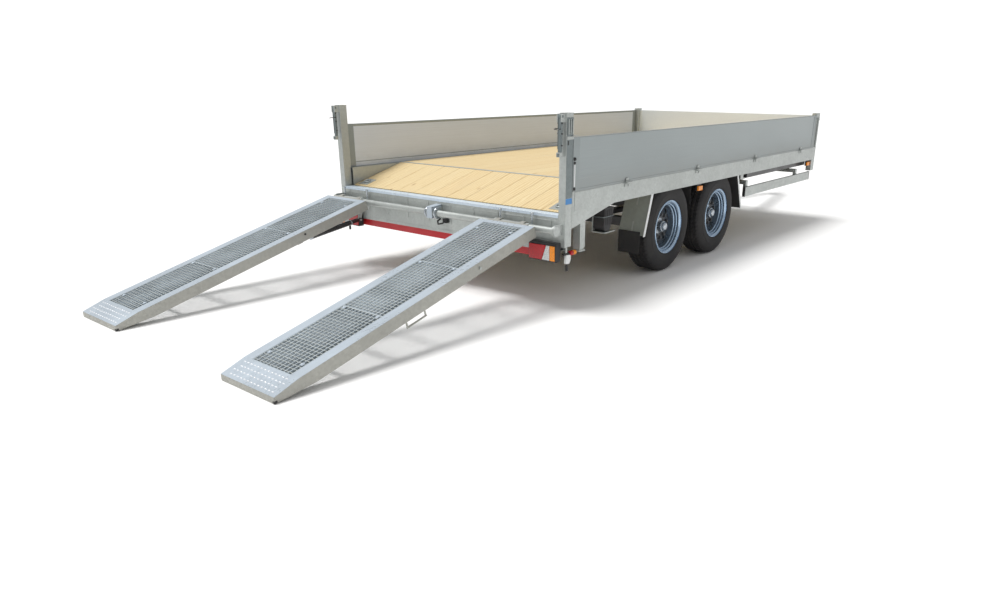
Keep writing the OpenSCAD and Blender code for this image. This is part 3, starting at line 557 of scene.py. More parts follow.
class TRAILER_OT_wheels(Step):
    """Tyres with grooved tread and deep dished rims with hand holes, nuts and hub caps"""
    bl_idname = "trailer.wheels"
    bl_label = "Wheels"

    def build(self):
        for side, sign in SIDES:
            for end in ("rear", "front"):
                hub = JOINT[f"{side}_{end}_wheel_spin"]["pos_m"]
                centre = (hub[0], 0.0, WHEEL_R)
                self.tyre(side, end, sign, centre)
                self.rim(side, end, sign, centre)

    def tyre(self, side, end, sign, centre):
        depth, blocks = sizes().tread_depth, sizes().tread_blocks
        w, bead, tip = 0.235, 0.223, WHEEL_R
        wall = [(bead, 0.0180), (bead + 0.013, 0.0150), (bead + 0.024, 0.0060), (0.262, 0.0022), (0.285, 0.0),
                (0.305, -0.0005), (0.306, 0.0012), (0.318, 0.0015), (0.333, 0.0040), (0.350, 0.0075),
                (0.364, 0.0115), (0.372, 0.0150), (0.379, 0.0200), (0.385, 0.0260)]
        y_mid = np.linspace(0.030, w - 0.030, 45)
        crown = tip - 0.0045 * ((y_mid - w / 2) / (w / 2)) ** 2
        groove = np.zeros_like(y_mid)
        for at in (0.062, 0.099, w - 0.099, w - 0.062):
            groove = np.maximum(groove, np.clip(1.6 - np.abs(y_mid - at) / 0.0040, 0, 1))
        tread = np.stack([crown - depth * groove, y_mid], 1)
        inner = [(bead - 0.012, w - 0.022), (bead - 0.012, w - 0.040), (0.30, w - 0.030), (0.355, w - 0.045),
                 (0.365, w / 2), (0.355, 0.045), (0.30, 0.030), (bead - 0.012, 0.040), (bead - 0.012, 0.022)]
        outline = np.array(wall + tread.tolist() + [(r, w - y) for r, y in wall[::-1]] + inner)
        outline[:, 1] = WHEEL_OUT - outline[:, 1]

        def sipes(a, r, y):
            """Cross grooves: the radius dips where a saw wave, slanted over the tread, is at its end."""
            out = np.clip((r - 0.3775) / 0.004, 0, 1)
            across = (WHEEL_OUT - y) / w
            rib = np.where(np.abs(across - 0.5) > 0.24, 1.0, 0.55)
            saw = (a * blocks / TAU + 1.2 * np.abs(across - 0.5)) % 1.0
            cut = np.clip(1.5 - np.abs(saw - 0.5) / 0.11, 0, 1)
            return -depth * 0.75 * out * cut * rib

        shape = turned(outline, blocks * 6, (centre[0], 0, centre[2]), sipes)
        piece(f"{side}_{end}_tyre_tread", f"{side}_{end}_wheel", [("tyre_rubber", [mirrored(shape, sign)])],
              [f"{side}_{end}_tyre"], smooth=30)

    def rim(self, side, end, sign, centre):
        out = WHEEL_OUT

        def round_part(points, around=96):
            outline = np.array(points, float)
            outline[:, 1] = out - outline[:, 1]
            return mirrored(turned(outline, around, (centre[0], 0, centre[2])), sign)

        barrel = [(0.2345, 0.0065), (0.2362, 0.0085), (0.2345, 0.0115), (0.2300, 0.0120), (0.2270, 0.0138),
                  (0.2245, 0.0132), (0.2215, 0.0095), (0.2185, 0.0092), (0.2155, 0.0125), (0.2130, 0.0150),
                  (0.2092, 0.0205), (0.2085, 0.0380), (0.2050, 0.0410), (0.2005, 0.0420), (0.1990, 0.0600),
                  (0.1955, 0.0640), (0.1925, 0.0650), (0.1915, 0.0900), (0.1915, 0.2000), (0.2020, 0.2130),
                  (0.2345, 0.2285), (0.2345, 0.2215), (0.2095, 0.2110), (0.2010, 0.1980), (0.2005, 0.0900),
                  (0.2020, 0.0660), (0.2095, 0.0420), (0.2105, 0.0235), (0.2270, 0.0175), (0.2345, 0.0150)]
        hub = [(0.0, 0.034), (0.024, 0.035), (0.032, 0.038), (0.036, 0.044), (0.037, 0.058), (0.046, 0.061),
               (0.048, 0.066), (0.048, 0.100), (0.060, 0.104), (0.074, 0.104), (0.074, 0.118), (0.0, 0.118)]
        stud = [(0.0, 0.074), (0.008, 0.074), (0.011, 0.078), (0.011, 0.080), (0.0, 0.080)]
        nut = [(0.0, 0.080), (0.0160, 0.080), (0.0175, 0.083), (0.0175, 0.096), (0.021, 0.098),
               (0.021, 0.101), (0.0, 0.101)]
        nuts = []
        for k in range(10):
            a = TAU * (k + 0.5) / 10
            at = (centre[0] + 0.1035 * math.cos(a), 0, centre[2] + 0.1035 * math.sin(a))
            for points, around in ((stud, 16), (nut, 6)):
                outline = np.array(points, float)
                outline[:, 1] = out - outline[:, 1]
                nuts.append(mirrored(turned(outline, around, at), sign))
        piece(f"{side}_{end}_rim_dish", f"{side}_{end}_wheel",
              [("rim_silver", [round_part(barrel)]), ("hub_steel", [round_part(hub, 48)]),
               # Nuts in black paint to match the disc: painted shade inside the dish.
               ("chassis_paint", nuts),
               ("rim_dark", [self.disc(centre, out, sign)])], [f"{side}_{end}_rim"], smooth=32)

    def disc(self, centre, out, sign):
        """Dished disc with eight round hand holes. Each sector blends from its hole's edge, u = 0, to its own
        edge, u = 1. Depth follows the radius along a smooth curve. A second copy behind gives the wall."""
        holes, r_in, r_out, r_mid, r_hole = 8, 0.070, 0.2000, 0.1600, 0.0235
        t = np.linspace(0, TAU, 48, endpoint=False)
        half = math.pi / holes
        c, s = np.cos(t), np.sin(t)
        k = 1.0 / np.maximum(np.abs(c), np.abs(s))
        edge_r = np.where(c * k > 0, r_mid + c * k * (r_out - r_mid), r_mid + c * k * (r_mid - r_in))
        edge_a = s * k * half
        hole_r, hole_a = r_mid + r_hole * c, r_hole * s / r_mid
        u = np.linspace(0, 1, 7)[:, None]
        r = (1 - u) * hole_r + u * edge_r
        a = (1 - u) * hole_a + u * edge_a
        dish = 0.012 * np.clip((r - r_in) / (r_out - r_in), 0, 1) ** 2
        depth = 0.108 + dish - 0.014 * np.exp(-((r - 0.103) / 0.03) ** 2)
        verts, faces, count = [], [], 0
        rows, cols = r.shape
        for wall in (0.0, 0.009):
            for h in range(holes):
                turn = a + 2 * half * h
                x, z = centre[0] + r * np.cos(turn), centre[2] + r * np.sin(turn)
                verts.append(np.stack([x, out - depth - wall, z], -1).reshape(-1, 3))
                faces.append(ring_faces(rows, cols, False) + count)
                count += rows * cols
        half_way = holes * rows * cols
        for h in range(holes):
            a0 = h * rows * cols + np.arange(cols)
            a1 = h * rows * cols + (np.arange(cols) + 1) % cols
            faces.append(np.stack([a0, a1, a1 + half_way, a0 + half_way], -1))
        shape = np.concatenate(verts), np.concatenate(faces)
        return mirrored(shape, sign)


class TRAILER_OT_gratings(Step):
    """Pressed gratings of the ramps: long bars, cross wires, edge strips and clips"""
    bl_idname = "trailer.gratings"
    bl_label = "Ramp gratings"

    def build(self):
        along, across = sizes().mesh_along, sizes().mesh_across
        half = RAMP_HALF - CHANNEL - 0.0006
        x0, x1 = RAMP_TIP + RAMP_LIP + 0.001, -0.103
        top = RAMP_TOP - 0.001

        def bars_across(xs, width, low, high):
            """Bars over the whole width of the mesh, one from each x, between two heights under its top."""
            return boxes(np.stack([xs, 0 * xs - half, 0 * xs + top + low], 1),
                         np.stack([xs + width, 0 * xs + half, 0 * xs + top + high], 1))

        ys = np.linspace(-half + 0.002, half - 0.005, int(round(2 * half / across)) + 1)
        bars = boxes(np.stack([0 * ys + x0, ys, 0 * ys + top - 0.016], 1),
                     np.stack([0 * ys + x1, ys + 0.0060, 0 * ys + top + 0.0008], 1))
        wires = bars_across(np.arange(x0 + along / 2, x1 - 0.004, along), 0.0046, -0.0035, 0.0004)
        panels = np.linspace(x0, x1, 4)
        strips = bars_across(panels[:3], 0.005, -0.024, 0)
        ends = bars_across(panels[1:] - 0.006, 0.005, -0.024, 0)
        rows = (x0 + 0.10, panels[1] - 0.02, panels[2] - 0.02, x1 - 0.10)
        spots = np.array([(x, y) for x in rows for y in (-half + 0.03, half - 0.03)])
        level = 0 * spots[:, 0] + top
        clip = boxes(np.column_stack([spots - (0.012, 0.013), level + 0.0002]),
                     np.column_stack([spots + (0.012, 0.013), level + 0.0032]))
        heads = domes(np.column_stack([spots, level + 0.003]), (0.008, 0.008, 0.005), 4, 10)
        for side, _ in SIDES:
            to = on_ramp(side)
            piece(f"{side}_ramp_mesh", f"{side}_ramp",
                  [("grating_steel", [moved(s, to) for s in (bars, strips, ends)]),
                   ("galvanised", [moved(wires, to)]),
                   # Clips and heads in the zinc copy with painted highlight.
                   ("zinc_bright", [moved(clip, to), moved(heads, to)])],
                  [f"{side}_ramp_grating"], smooth=30)


class TRAILER_OT_lips(Step):
    """Raised dashes on the ramp lips, the top flanges of the side channels and the lips in a painted highlight,
    and the tip faces in painted shade
    """
    bl_idname = "trailer.lips"
    bl_label = "Ramp lips"

    def build(self):
        back = TIP_HEIGHT * math.tan(RAMP_TILT)
        tip_x, tip_z, bend = RAMP_TIP + back, TIP_BOTTOM + TIP_HEIGHT, RAMP_TIP + RAMP_LIP
        rise = math.atan2(RAMP_TOP - tip_z, bend - tip_x)
        rows, cols = 4, 13
        inset = RAMP_HALF - CHANNEL
        gx, gy = np.meshgrid(np.linspace(0.028, RAMP_LIP - 0.040, rows), np.linspace(-0.205, 0.205, cols),
                             indexing="ij")
        gy = gy + np.where(np.arange(rows)[:, None] % 2, 0.010, -0.010)
        centres = np.stack([gx.ravel(), gy.ravel(), 0 * gx.ravel() + SKIN], 1)
        dashes = domes(centres, (0.0050, 0.0115, sizes().stud_height), 4, 12)
        slope = Matrix.Translation((tip_x, 0, tip_z)) @ Matrix.Rotation(-rise, 4, "Y")
        flange = [boxes([(bend, y, RAMP_TOP)], [(-0.054, y + CHANNEL - 0.002, RAMP_TOP + SKIN)])
                  for y in (-RAMP_HALF + 0.001, inset + 0.001)]
        flange.append(boxes([(-0.100, -inset, RAMP_TOP)], [(-0.054, inset, RAMP_TOP + SKIN)]))
        lip = prism([(tip_x, tip_z + 0.0001), (bend, RAMP_TOP + 0.0001), (bend, RAMP_TOP + SKIN),
                     (tip_x, tip_z + SKIN)], -RAMP_HALF + 0.001, RAMP_HALF - 0.001, 1)
        foot = prism([(RAMP_TIP - 0.0008, TIP_BOTTOM), (RAMP_TIP + 0.0002, TIP_BOTTOM),
                      (tip_x + 0.0002, tip_z), (tip_x - 0.0008, tip_z)],
                     -RAMP_HALF + 0.002, RAMP_HALF - 0.002, 1)
        for side, _ in SIDES:
            to = on_ramp(side)
            piece(f"{side}_ramp_lip_skin", f"{side}_ramp",
                  # Lip and top flanges in the zinc copy with painted highlight; tip face in the zinc copy with
                  # painted shade.
                  [("zinc_bright", [moved(s, to) for s in (lip, *flange)]),
                   ("zinc_warm", [moved(foot, to)]),
                   ("stud_bright", [moved(dashes, to @ slope)])], smooth=40)


class TRAILER_OT_boards(Step):
    """Drop sides: a rolled board with a top bead, sunk panels, end profiles, and the latch at its rear end"""
    bl_idname = "trailer.boards"
    bl_label = "Drop sides"

    def build(self):
        x0, x1 = REAR + 0.084, REAR + 5.106
        y0, y1, z0, z1 = 1.247, 1.275, 0.8625, 1.240
        sink, rim = 0.0018, 0.016
        outline = [(y0, z0), (y1, z0), (y1, z0 + rim), (y1 - sink, z0 + rim + 0.003),
                   (y1 - sink, z1 - rim - 0.004), (y1, z1 - rim), (y1, z1 - 0.003), (y1 - 0.003, z1),
                   (y0 + 0.003, z1), (y0, z1 - 0.003), (y0, z1 - rim), (y0 + sink, z1 - rim - 0.004),
                   (y0 + sink, z0 + 0.043), (y0, z0 + 0.040)]
        for side, sign in SIDES:
            board = prism(outline, x0, x1, 0)
            ends = [boxes([(a, y0 - 0.0006, z0 + 0.001)], [(a + 0.078, y1 + 0.0006, z1 + 0.0008)])
                    for a in (x0, x1 - 0.078)]
            inner = boxes([(x0 + 0.080, y0 + sink - 0.0012, z0 + 0.045)],
                          [(x1 - 0.080, y0 + sink + 0.0006, z1 - rim - 0.005)])
            kick = boxes([(x0 + 0.080, y0 - 0.0006, z0 + 0.002)], [(x1 - 0.080, y0 + 0.002, z0 + 0.038)])
            piece(f"{side}_board_panel", f"{side}_side",
                  [("side_sheet", [mirrored(s, sign) for s in [board] + ends]),
                   # Inner panel and kick strip in the lighter sheet copy: painted light.
                   ("inner_sheet", [mirrored(s, sign) for s in (inner, kick)])], [f"{side}_board"],
                  bevel=0.0009, smooth=30)
            at = REAR + 0.101
            bar = boxes([(at - 0.005, y1, 0.897)], [(at + 0.005, y1 + 0.006, 1.051)])
            knob = moved(domes([(0, 0, 0)], (0.013, 0.013, 0.014), 6, 16),
                         Matrix.Translation((at, y1 + 0.0005, 1.091)) @ Matrix.Rotation(-math.pi / 2, 4, "X"))
            foot = boxes([(at - 0.009, y1, 0.872), (at - 0.009, y1, 1.056)],
                         [(at + 0.009, y1 + 0.008, 0.893), (at + 0.009, y1 + 0.007, 1.072)])
            wire = swept([(REAR + 0.062, y1 + 0.010, 1.252), (REAR + 0.10, y1 + 0.010, 1.252),
                          (REAR + 0.128, y1 + 0.008, 1.2515)], 0.0026, 8)
            piece(f"{side}_board_end_catch", f"{side}_side",
                  [("white_edge", [mirrored(bar, sign)]),
                   ("black_plastic", [mirrored(s, sign) for s in (knob, foot)])],
                  bevel=0.0012)
            piece(f"{side}_board_pull_wire", "chassis", [("galvanised", [mirrored(wire, sign)])])


class TRAILER_OT_posts(Step):
    """Dark stanchion faces, ribbed latch heads, slots and tape bands on the rear posts"""
    bl_idname = "trailer.posts"
    bl_label = "Rear posts"

    def build(self):
        y, x = HALF, CATCH_X
        face = boxes([(REAR + 0.003, y, 0.823)], [(REAR + 0.077, y + SKIN, 1.226)])
        head = boxes([(REAR + 0.004, y, 1.250)], [(REAR + 0.076, y + 0.0035, 1.374)])
        ribs = [boxes([(REAR + a, y + 0.003, 1.262)], [(REAR + a + 0.007, y + 0.011, 1.362)])
                for a in (0.012, 0.034, 0.058)]
        caps = boxes([(REAR - 0.0015, y - 0.0615, 1.4005)], [(REAR + 0.0815, y + 0.0015, 1.4046)])
        collar = boxes([(REAR + 0.001, y, 1.228)], [(REAR + 0.079, y + 0.006, 1.247)])
        # The slot is a thin black box on the face: painted shade in the opening.
        slot = boxes([(REAR + 0.014, y + SKIN, 1.190)], [(REAR + 0.028, y + SKIN + 0.0008, 1.220)])
        band = boxes([(REAR + 0.002, y, 0.781)], [(REAR + 0.078, y + 0.0009, 0.821)])
        lower = boxes([(REAR + 0.001, y, 0.474)], [(REAR + 0.079, y + 0.0010, 0.779)])
        cheeks = boxes([(x - 0.011, 1.2295, 1.165), (x - 0.011, 1.2555, 1.165)],
                       [(x + 0.010, 1.2325, 1.362), (x + 0.010, 1.2585, 1.362)])
        pins = [swept([(x, 1.222, z), (x, 1.244, z), (x, 1.266, z)], 0.0055, 12)
                for z in (1.338, 1.268, 1.190)]
        wire = swept([(x, 1.224, 1.302), (x - 0.022, 1.223, 1.303), (x - 0.045, 1.225, 1.300),
                      (x - 0.047, 1.244, 1.298), (x - 0.045, 1.262, 1.296), (x - 0.020, 1.264, 1.300)],
                     0.0032, 8)
        shoe = boxes([(x - 0.022, 1.2295, 1.112)], [(x + 0.010, 1.2580, 1.144)])
        for side, sign in SIDES:
            piece(f"{side}_catch_plates", f"{side}_ramp_catch",
                  [("zinc_dark", [mirrored(cheeks, sign)]),
                   ("strut_paint", [mirrored(p, sign) for p in pins + [wire]]),
                   ("galvanised", [mirrored(shoe, sign)])], bevel=0.001)
            piece(f"{side}_post_face", "chassis",
                  [("zinc_dark", [mirrored(s, sign) for s in (face, head)]),
                   ("galvanised", [mirrored(s, sign) for s in (*ribs, collar, caps, lower)]),
                   # Slot in black plastic: painted shade in the opening.
                   ("black_plastic", [mirrored(slot, sign)]), ("blue_band", [mirrored(band, sign)])],
                  bevel=0.0005)


class TRAILER_OT_rear_beam(Step):
    """Top plate and lip of the rear beam in a painted highlight, pressed lines on its face, shaft strap and a lock
    clip
    """
    bl_idname = "trailer.rear_beam_detail"
    bl_label = "Rear beam"

    def build(self):
        half = 1.213
        top = boxes([(REAR - 0.0015, -half, 0.7000)], [(REAR + 0.0790, half, 0.7018)])
        lip = boxes([(REAR - 0.0030, -half, 0.680)], [(REAR - 0.0002, half, 0.7018)])
        lines = boxes([(REAR - 0.0030, -half, z) for z in (0.655, 0.452)],
                      [(REAR - 0.0002, half, z + 0.004) for z in (0.655, 0.452)])
        strap = prism([(REAR - 0.118, 0.560), (REAR - 0.112, 0.560), (REAR - 0.112, 0.646),
                       (REAR - 0.003, 0.656), (REAR - 0.003, 0.662), (REAR - 0.118, 0.652)], -0.030, 0.030, 1)
        strap_side = boxes([(REAR - 0.116, -0.030, 0.562), (REAR - 0.116, 0.027, 0.562)],
                           [(REAR - 0.004, -0.027, 0.652), (REAR - 0.004, 0.030, 0.652)])
        piece("rear_beam_plates", "chassis",
              # Top plate and lip in the painted highlight; strap in the zinc copy with painted highlight.
              [("edge_bright", [top, lip]), ("galvanised", [lines]), ("zinc_bright", [strap, strap_side])],
              bevel=0.0008)
        rings = []
        for y in (-0.060, 0.044):
            ring = [(0.026, 0), (0.044, 0), (0.046, 0.003), (0.046, 0.013), (0.044, 0.016), (0.026, 0.016)]
            rings.append(turned([(r, w + y) for r, w in ring], 40, (SHAFT.x, 0, SHAFT.z)))
        piece("shaft_collars", "chassis", [("hub_steel", rings)])
        clip = swept([(REAR - 0.030, -0.100, 0.545), (REAR - 0.060, -0.090, 0.520),
                      (REAR - 0.062, -0.040, 0.508), (REAR - 0.040, -0.015, 0.530),
                      (REAR - 0.012, -0.025, 0.545)], 0.007, 10)
        block = boxes([(REAR - 0.040, -0.112, 0.520)], [(REAR - 0.006, -0.070, 0.556)])
        piece("lock_clip", "chassis", [("black_plastic", [clip, block])], bevel=0.002)


class TRAILER_OT_lamps(Step):
    """Rear lamps in three lenses, outline lamps on pale arms and amber side markers"""
    bl_idname = "trailer.lamps"
    bl_label = "Lamps"

    def build(self):
        red, white, amber, black, arm, steel = [], [], [], [], [], []
        for _, sign in SIDES:
            def put(group, shape):
                group.append(mirrored(shape, sign))

            x0, x1 = REAR - 0.0640, REAR - 0.056
            put(black, boxes([(REAR - 0.058, 0.988, 0.366)], [(REAR - 0.002, 1.243, 0.506)]))
            put(black, boxes([(REAR - 0.066, 1.236, 0.370)], [(REAR - 0.050, 1.246, 0.490)]))
            put(red, prism([(0.994, 0.374), (1.112, 0.374), (1.152, 0.484), (0.994, 0.484)], x0, x1, 0))
            put(white, prism([(1.115, 0.374), (1.184, 0.374), (1.184, 0.484), (1.155, 0.484)], x0, x1, 0))
            put(amber, prism([(1.187, 0.374), (1.235, 0.374), (1.235, 0.484), (1.187, 0.484)], x0, x1, 0))
            y = 1.262
            put(arm, prism([(REAR + 0.030, 0.345), (REAR + 0.070, 0.342), (REAR + 0.086, 0.375),
                            (REAR + 0.084, 0.408), (REAR + 0.034, 0.412)], y - 0.012, y + 0.012, 1))
            put(black, swept([(REAR + 0.048, y, 0.350), (REAR + 0.049, y, 0.320), (REAR + 0.050, y, 0.290)],
                             0.010, 12))
            put(black, boxes([(REAR + 0.010, y - 0.016, 0.408)], [(REAR + 0.080, y + 0.006, 0.424)]))
            put(steel, boxes([(REAR + 0.030, y - 0.014, 0.424)], [(REAR + 0.050, y + 0.004, 0.470)]))
            put(red, swept([(REAR + 0.080, y, 0.416), (REAR + 0.098, y, 0.416), (REAR + 0.116, y, 0.416)],
                           0.0185, 20))
            put(amber, swept([(REAR + 0.117, y, 0.416), (REAR + 0.132, y, 0.416), (REAR + 0.147, y, 0.416),
                              (REAR + 0.152, y, 0.416)], 0.0175, 20))
            for x in MARKERS:
                put(amber, boxes([(x - 0.040, 1.242, 0.656)], [(x + 0.040, 1.262, 0.698)]))
                put(black, boxes([(x - 0.045, 1.230, 0.652)], [(x + 0.045, 1.246, 0.722)]))
        piece("rear_lamp_units", "chassis",
              [("lamp_red", red), ("lamp_clear", white), ("lamp_amber", amber),
               ("black_plastic", black), ("white_edge", arm), ("galvanised", steel)],
              ["rear_lamps", "marker_lamps"], bevel=0.003)


class TRAILER_OT_guards(Step):
    """Mudguard sheets with pale edges, their straps, black boxes under the front rails as painted shade of the
    beams there, side rail caps and frame gussets
    """
    bl_idname = "trailer.guards"
    bl_label = "Guards"

    def build(self):
        y0, y1, wall = 1.005, 1.262, 0.004
        back, front, lean, rake = REAR + REAR_AXLE - 0.84 * WHEEL_R, REAR + 2.964, 0.105, 0.150
        top, low = RAIL_BOT, RAIL_BOT - 0.345
        mid = REAR + 2.080
        sheet_back, sheet_front, edge, strap, cap, gusset = [], [], [], [], [], []
        for _, sign in SIDES:
            def put(group, shape):
                group.append(mirrored(shape, sign))

            back_low, front_low, tab = back - lean, front + rake, back - wall
            put(sheet_back, prism([(back, top), (back_low, low), (back_low - wall, low), (tab, top)],
                                  y0, y1, 1))
            put(sheet_front, prism([(front, top), (front_low, low), (front_low + wall, low),
                                    (front + wall, top)], y0, y1, 1))
            put(sheet_front, boxes([(mid - 0.002, y0, top - 0.19)], [(mid + 0.002, y1 - 0.06, top + 0.05)]))
            put(edge, prism([(back + 0.002, top), (back_low + 0.002, low - 0.004),
                             (back_low - 0.026, low - 0.004), (back - 0.030, top)], y1, y1 + 0.005, 1))
            put(edge, prism([(front - 0.002, top), (front_low - 0.002, low - 0.004),
                             (front_low + 0.024, low - 0.004), (front + 0.026, top)], y1, y1 + 0.005, 1))
            put(strap, prism([(tab, top), (tab - 0.030, top - 0.100), (tab - 0.034, top - 0.100),
                              (tab - 0.004, top)], 1.125, 1.139, 1))
            put(strap, prism([(tab - 0.070, top - 0.235), (back_low - wall, low),
                              (back_low - wall - 0.004, low), (tab - 0.074, top - 0.235)], 1.125, 1.139, 1))
            x0, x1 = REAR + REAR_AXLE + AXLE_GAP + 0.620, REAR + 5.100
            for x in (x0, x1):
                put(cap, boxes([(x - 0.004, 1.243, 0.484)], [(x + 0.004, 1.272, 0.584)]))
            put(gusset, prism([(REAR + 0.112, 0.716), (REAR + 0.120, 0.770), (REAR + 0.157, 0.775),
                               (REAR + 0.440, 0.832), (REAR + 0.440, 0.858), (REAR + 0.112, 0.858)],
                              HALF, HALF + 0.0025, 1))
            put(gusset, boxes([(REAR + 0.082, HALF, 0.60)], [(REAR + 0.092, HALF + 0.002, 0.858)]))
        # Black boxes under the front rails stand for the beams there, in black for their shade: painted shade.
        beam_shade = boxes([(REAR + 3.380, 1.150, 0.655)], [(REAR + 5.130, 1.190, 0.729)])
        piece("front_floor_bearers", "chassis",
              [("chassis_paint", [mirrored(beam_shade, sign) for _, sign in SIDES])], bevel=0.002)
        piece("wheel_guard_sheets", "chassis",
              [("guard_sheet", sheet_back), ("black_plastic", sheet_front), ("white_edge", edge),
               ("galvanised", strap)],
              ["guard_panels"], bevel=0.0008)
        piece("side_rail_caps", "chassis", [("black_plastic", cap)], bevel=0.002)
        piece("frame_gussets", "chassis", [("galvanised", gusset)], bevel=0.001)


class TRAILER_OT_chocks(Step):
    """Wheel chocks with rounded heels and ribbed sides, and the hoops round them"""
    bl_idname = "trailer.chocks"
    bl_label = "Wheel chocks"

    def build(self):
        x, z, r = REAR + 0.640, 0.4935, 0.048
        turn = np.radians(np.linspace(180, 270, 8))
        left = np.stack([-0.022 + r * np.cos(turn), r + r * np.sin(turn)], 1)
        turn = np.radians(np.linspace(270, 347, 8))
        right = np.stack([-0.014 + r * np.cos(turn), r + r * np.sin(turn)], 1)
        crest = [(0.068, 0.185), (0.060, 0.190), (-0.056, 0.190), (-0.062, 0.184)]
        outline = np.concatenate([left, right, crest])
        for side, sign in SIDES:
            body = prism(outline + (x, z), 1.136, 1.236, 1)
            ribs = [boxes([(x - 0.050 + 0.026 * k, 1.2355, z + 0.055)],
                          [(x - 0.042 + 0.026 * k, 1.2390, z + 0.175)]) for k in range(4)]
            piece(f"{side}_chock_block", f"{side}_wheel_chock",
                  [("black_plastic", [mirrored(s, sign) for s in (body, *ribs)])], [f"{side}_chock"],
                  bevel=0.002)
            hoop = swept([(x - 0.080, 1.125, 0.612), (x - 0.084, 1.18, 0.612), (x - 0.080, 1.234, 0.612),
                          (x - 0.040, 1.2365, 0.612), (x + 0.020, 1.2365, 0.612), (x + 0.076, 1.234, 0.612),
                          (x + 0.084, 1.18, 0.612), (x + 0.080, 1.125, 0.612)], 0.0035, 8)
            piece(f"{side}_chock_hoop", f"{side}_wheel_chock", [("zinc_dark", [mirrored(hoop, sign)])])


class TRAILER_OT_ramp_fittings(Step):
    """Lock pins and clips on the ramps, and the silver fittings of the struts"""
    bl_idname = "trailer.ramp_fittings"
    bl_label = "Ramp fittings"

    def build(self):
        for side, sign in SIDES:
            to = on_ramp(side)
            edge = sign * RAMP_HALF
            pin = swept([(-0.668, edge - sign * 0.002, 0.0), (-0.668, edge + sign * 0.011, 0.0)], 0.010, 16)
            inner = swept([(-0.720, sign * 0.002 - edge, 0.012), (-0.720, -sign * 0.006 - edge, 0.012)],
                          0.008, 16)
            tip = boxes([(RAMP_TIP - 0.0015, -RAMP_HALF - 0.0015, TIP_BOTTOM)],
                        [(RAMP_TIP + 0.020, -RAMP_HALF + 0.014, TIP_BOTTOM + 0.014)])
            piece(f"{side}_ramp_pins", f"{side}_ramp",
                  [("galvanised", [moved(pin, to)]), ("black_plastic", [moved(s, to) for s in (inner, tip)])],
                  bevel=0.001)
            x, z = SPREAD_PIN_X, SHAFT.z
            stubs = []
            for y in (JOINT[side + "_ramp_lift"]["pos_m"][1] + d for d in (-0.155, 0.155)):
                stubs.append(boxes([(x - 0.027, y - 0.010, z - 0.012)], [(x + 0.007, y + 0.010, z + 0.010)]))
                stubs.append(swept([(x, y, z - 0.010), (x, y, z + 0.088)], 0.006, 12))
                stubs.append(swept([(x, y, z + 0.088), (x, y, z + 0.100)], 0.012, 12))
            piece(f"{side}_spread_pins", f"{side}_carriage", [("hub_steel", stubs)],
                  bevel=0.001)
            strut = Vector(JOINT[side + "_strut_swing"]["pos_m"])
            axis = Vector(JOINT[side + "_strut_extend"]["axis"])

            def ring(a, b, r, around=20):
                """A short bar on the strut's axis, between two distances from its foot pin."""
                return swept([strut + axis * a, strut + axis * ((a + b) / 2), strut + axis * b], r, around)

            piece(f"{side}_strut_bands", f"{side}_strut",
                  [("hub_steel", [ring(0.092, 0.106, 0.0235), ring(0.512, 0.531, 0.0240)])])
            piece(f"{side}_strut_nuts", f"{side}_rod",
                  [("hub_steel", [ring(0.604, 0.630, 0.0165, 6), ring(0.672, 0.690, 0.0150, 6)]),
                   ("strut_paint", [ring(0.700, 0.868, 0.0110, 16)])])


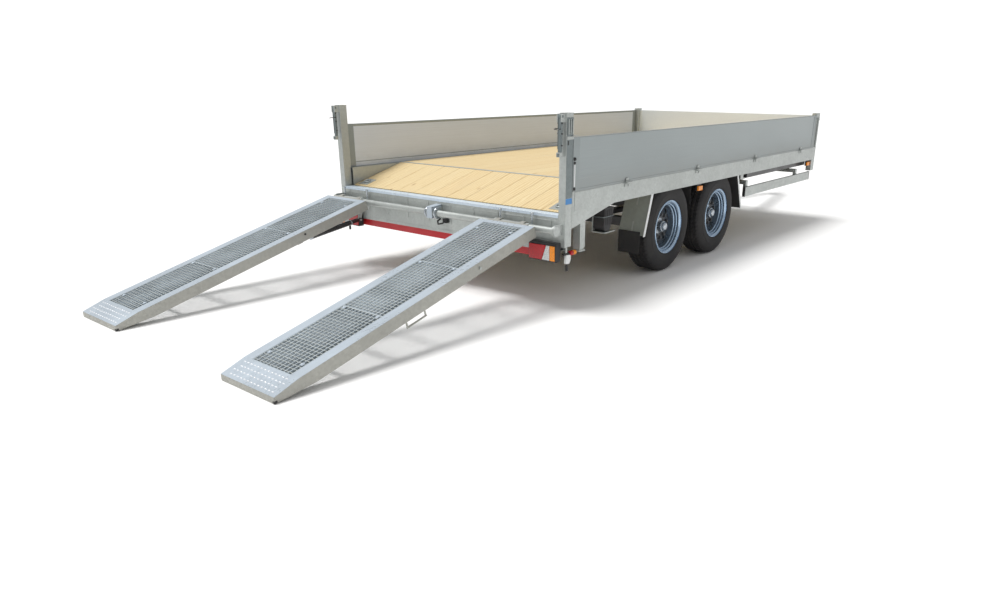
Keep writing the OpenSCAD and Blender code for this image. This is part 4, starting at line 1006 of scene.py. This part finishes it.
class TRAILER_OT_stage(Step):
    """Pale floor, soft light and the camera"""
    bl_idname = "trailer.stage"
    bl_label = "Stage"

    def build(self):
        scene = bpy.context.scene
        corners = [(x * FLOOR_HALF, y * FLOOR_HALF, FLOOR_Z) for x, y in ((-1, -1), (1, -1), (1, 1), (-1, 1))]
        mesh = bpy.data.meshes.new("floor")
        mesh.from_pydata(corners, [], [[0, 1, 2, 3]])
        f = Finish("pale floor", 0.85, 0.0, specular=0.2)
        patch = f.noise(f.stretched((1, 1, 1)), 0.6, 3)
        f.done(f.mix(patch, (0.93, 0.93, 0.93, 1), (0.95, 0.95, 0.95, 1)))
        mesh.materials.append(f.material)
        floor = bpy.data.objects.new("floor", mesh)
        scene.collection.objects.link(floor)

        world = bpy.data.worlds.new("studio")
        scene.world = world
        world.use_nodes = True
        tree = world.node_tree
        back = tree.nodes["Background"]
        back.inputs["Color"].default_value = (1.0, 1.0, 1.0, 1)
        ray = tree.nodes.new("ShaderNodeLightPath")
        level = tree.nodes.new("ShaderNodeMapRange")
        level.inputs["To Min"].default_value = ROOM_LIGHT
        level.inputs["To Max"].default_value = ROOM_SEEN
        tree.links.new(ray.outputs["Is Camera Ray"], level.inputs["Value"])
        tree.links.new(level.outputs["Result"], back.inputs["Strength"])

        sun = bpy.data.lights.new("key", "SUN")
        sun.energy = 2.6
        sun.angle = math.radians(24)
        sun.color = (1.0, 0.99, 0.975)
        lamp = bpy.data.objects.new("key", sun)
        lamp.rotation_euler = KEY_HEADING.to_track_quat("-Z", "Y").to_euler()
        scene.collection.objects.link(lamp)

        level_out = math.cos(EYE_PITCH)
        ahead = Vector((level_out * math.cos(EYE_YAW), level_out * math.sin(EYE_YAW), math.sin(EYE_PITCH)))
        level_right = Vector((math.sin(EYE_YAW), -math.cos(EYE_YAW), 0.0))
        level_up = level_right.cross(ahead)
        right = level_right * math.cos(EYE_ROLL) + level_up * math.sin(EYE_ROLL)
        up = level_up * math.cos(EYE_ROLL) - level_right * math.sin(EYE_ROLL)
        camera = bpy.data.cameras.new("camera")
        camera.sensor_width = 36.0
        camera.lens = 26.188
        camera.shift_x = -0.0308
        camera.shift_y = 0.0437
        camera.clip_end = 200.0
        eye = bpy.data.objects.new("camera", camera)
        turn = Matrix((right, up, -ahead)).transposed().to_4x4()
        eye.matrix_world = Matrix.Translation(EYE) @ turn
        scene.collection.objects.link(eye)
        scene.camera = eye
        scene.view_settings.view_transform = "Standard"


class TRAILER_PT_panel(bpy.types.Panel):
    """Lists the building steps"""
    bl_label = "Trailer"
    bl_idname = "TRAILER_PT_panel"
    bl_space_type = "VIEW_3D"
    bl_region_type = "UI"
    bl_category = "Trailer"

    def draw(self, context):
        for group in (context.scene.trailer_sizes, context.scene.trailer_colours):
            for key in group.bl_rna.properties.keys():
                if key not in {"rna_type", "name"}:
                    self.layout.prop(group, key)
        for step in STEPS:
            self.layout.operator(step.bl_idname)


STEPS = (TRAILER_OT_stage, TRAILER_OT_finishes, TRAILER_OT_soft_edges, TRAILER_OT_wheels,
         TRAILER_OT_gratings, TRAILER_OT_lips, TRAILER_OT_boards, TRAILER_OT_posts,
         TRAILER_OT_rear_beam, TRAILER_OT_lamps, TRAILER_OT_guards, TRAILER_OT_chocks,
         TRAILER_OT_ramp_fittings)


def register():
    for cls in (TrailerSizes, TrailerColours, *STEPS, TRAILER_PT_panel):
        bpy.utils.register_class(cls)
    bpy.types.Scene.trailer_sizes = PointerProperty(type=TrailerSizes)
    bpy.types.Scene.trailer_colours = PointerProperty(type=TrailerColours)


def unregister():
    del bpy.types.Scene.trailer_colours
    del bpy.types.Scene.trailer_sizes
    for cls in (TRAILER_PT_panel, *reversed(STEPS), TrailerColours, TrailerSizes):
        bpy.utils.unregister_class(cls)


def main():
    register()
    for step in STEPS:
        group, name = step.bl_idname.split(".")
        getattr(getattr(bpy.ops, group), name)()


if __name__ == "__main__":
    main()
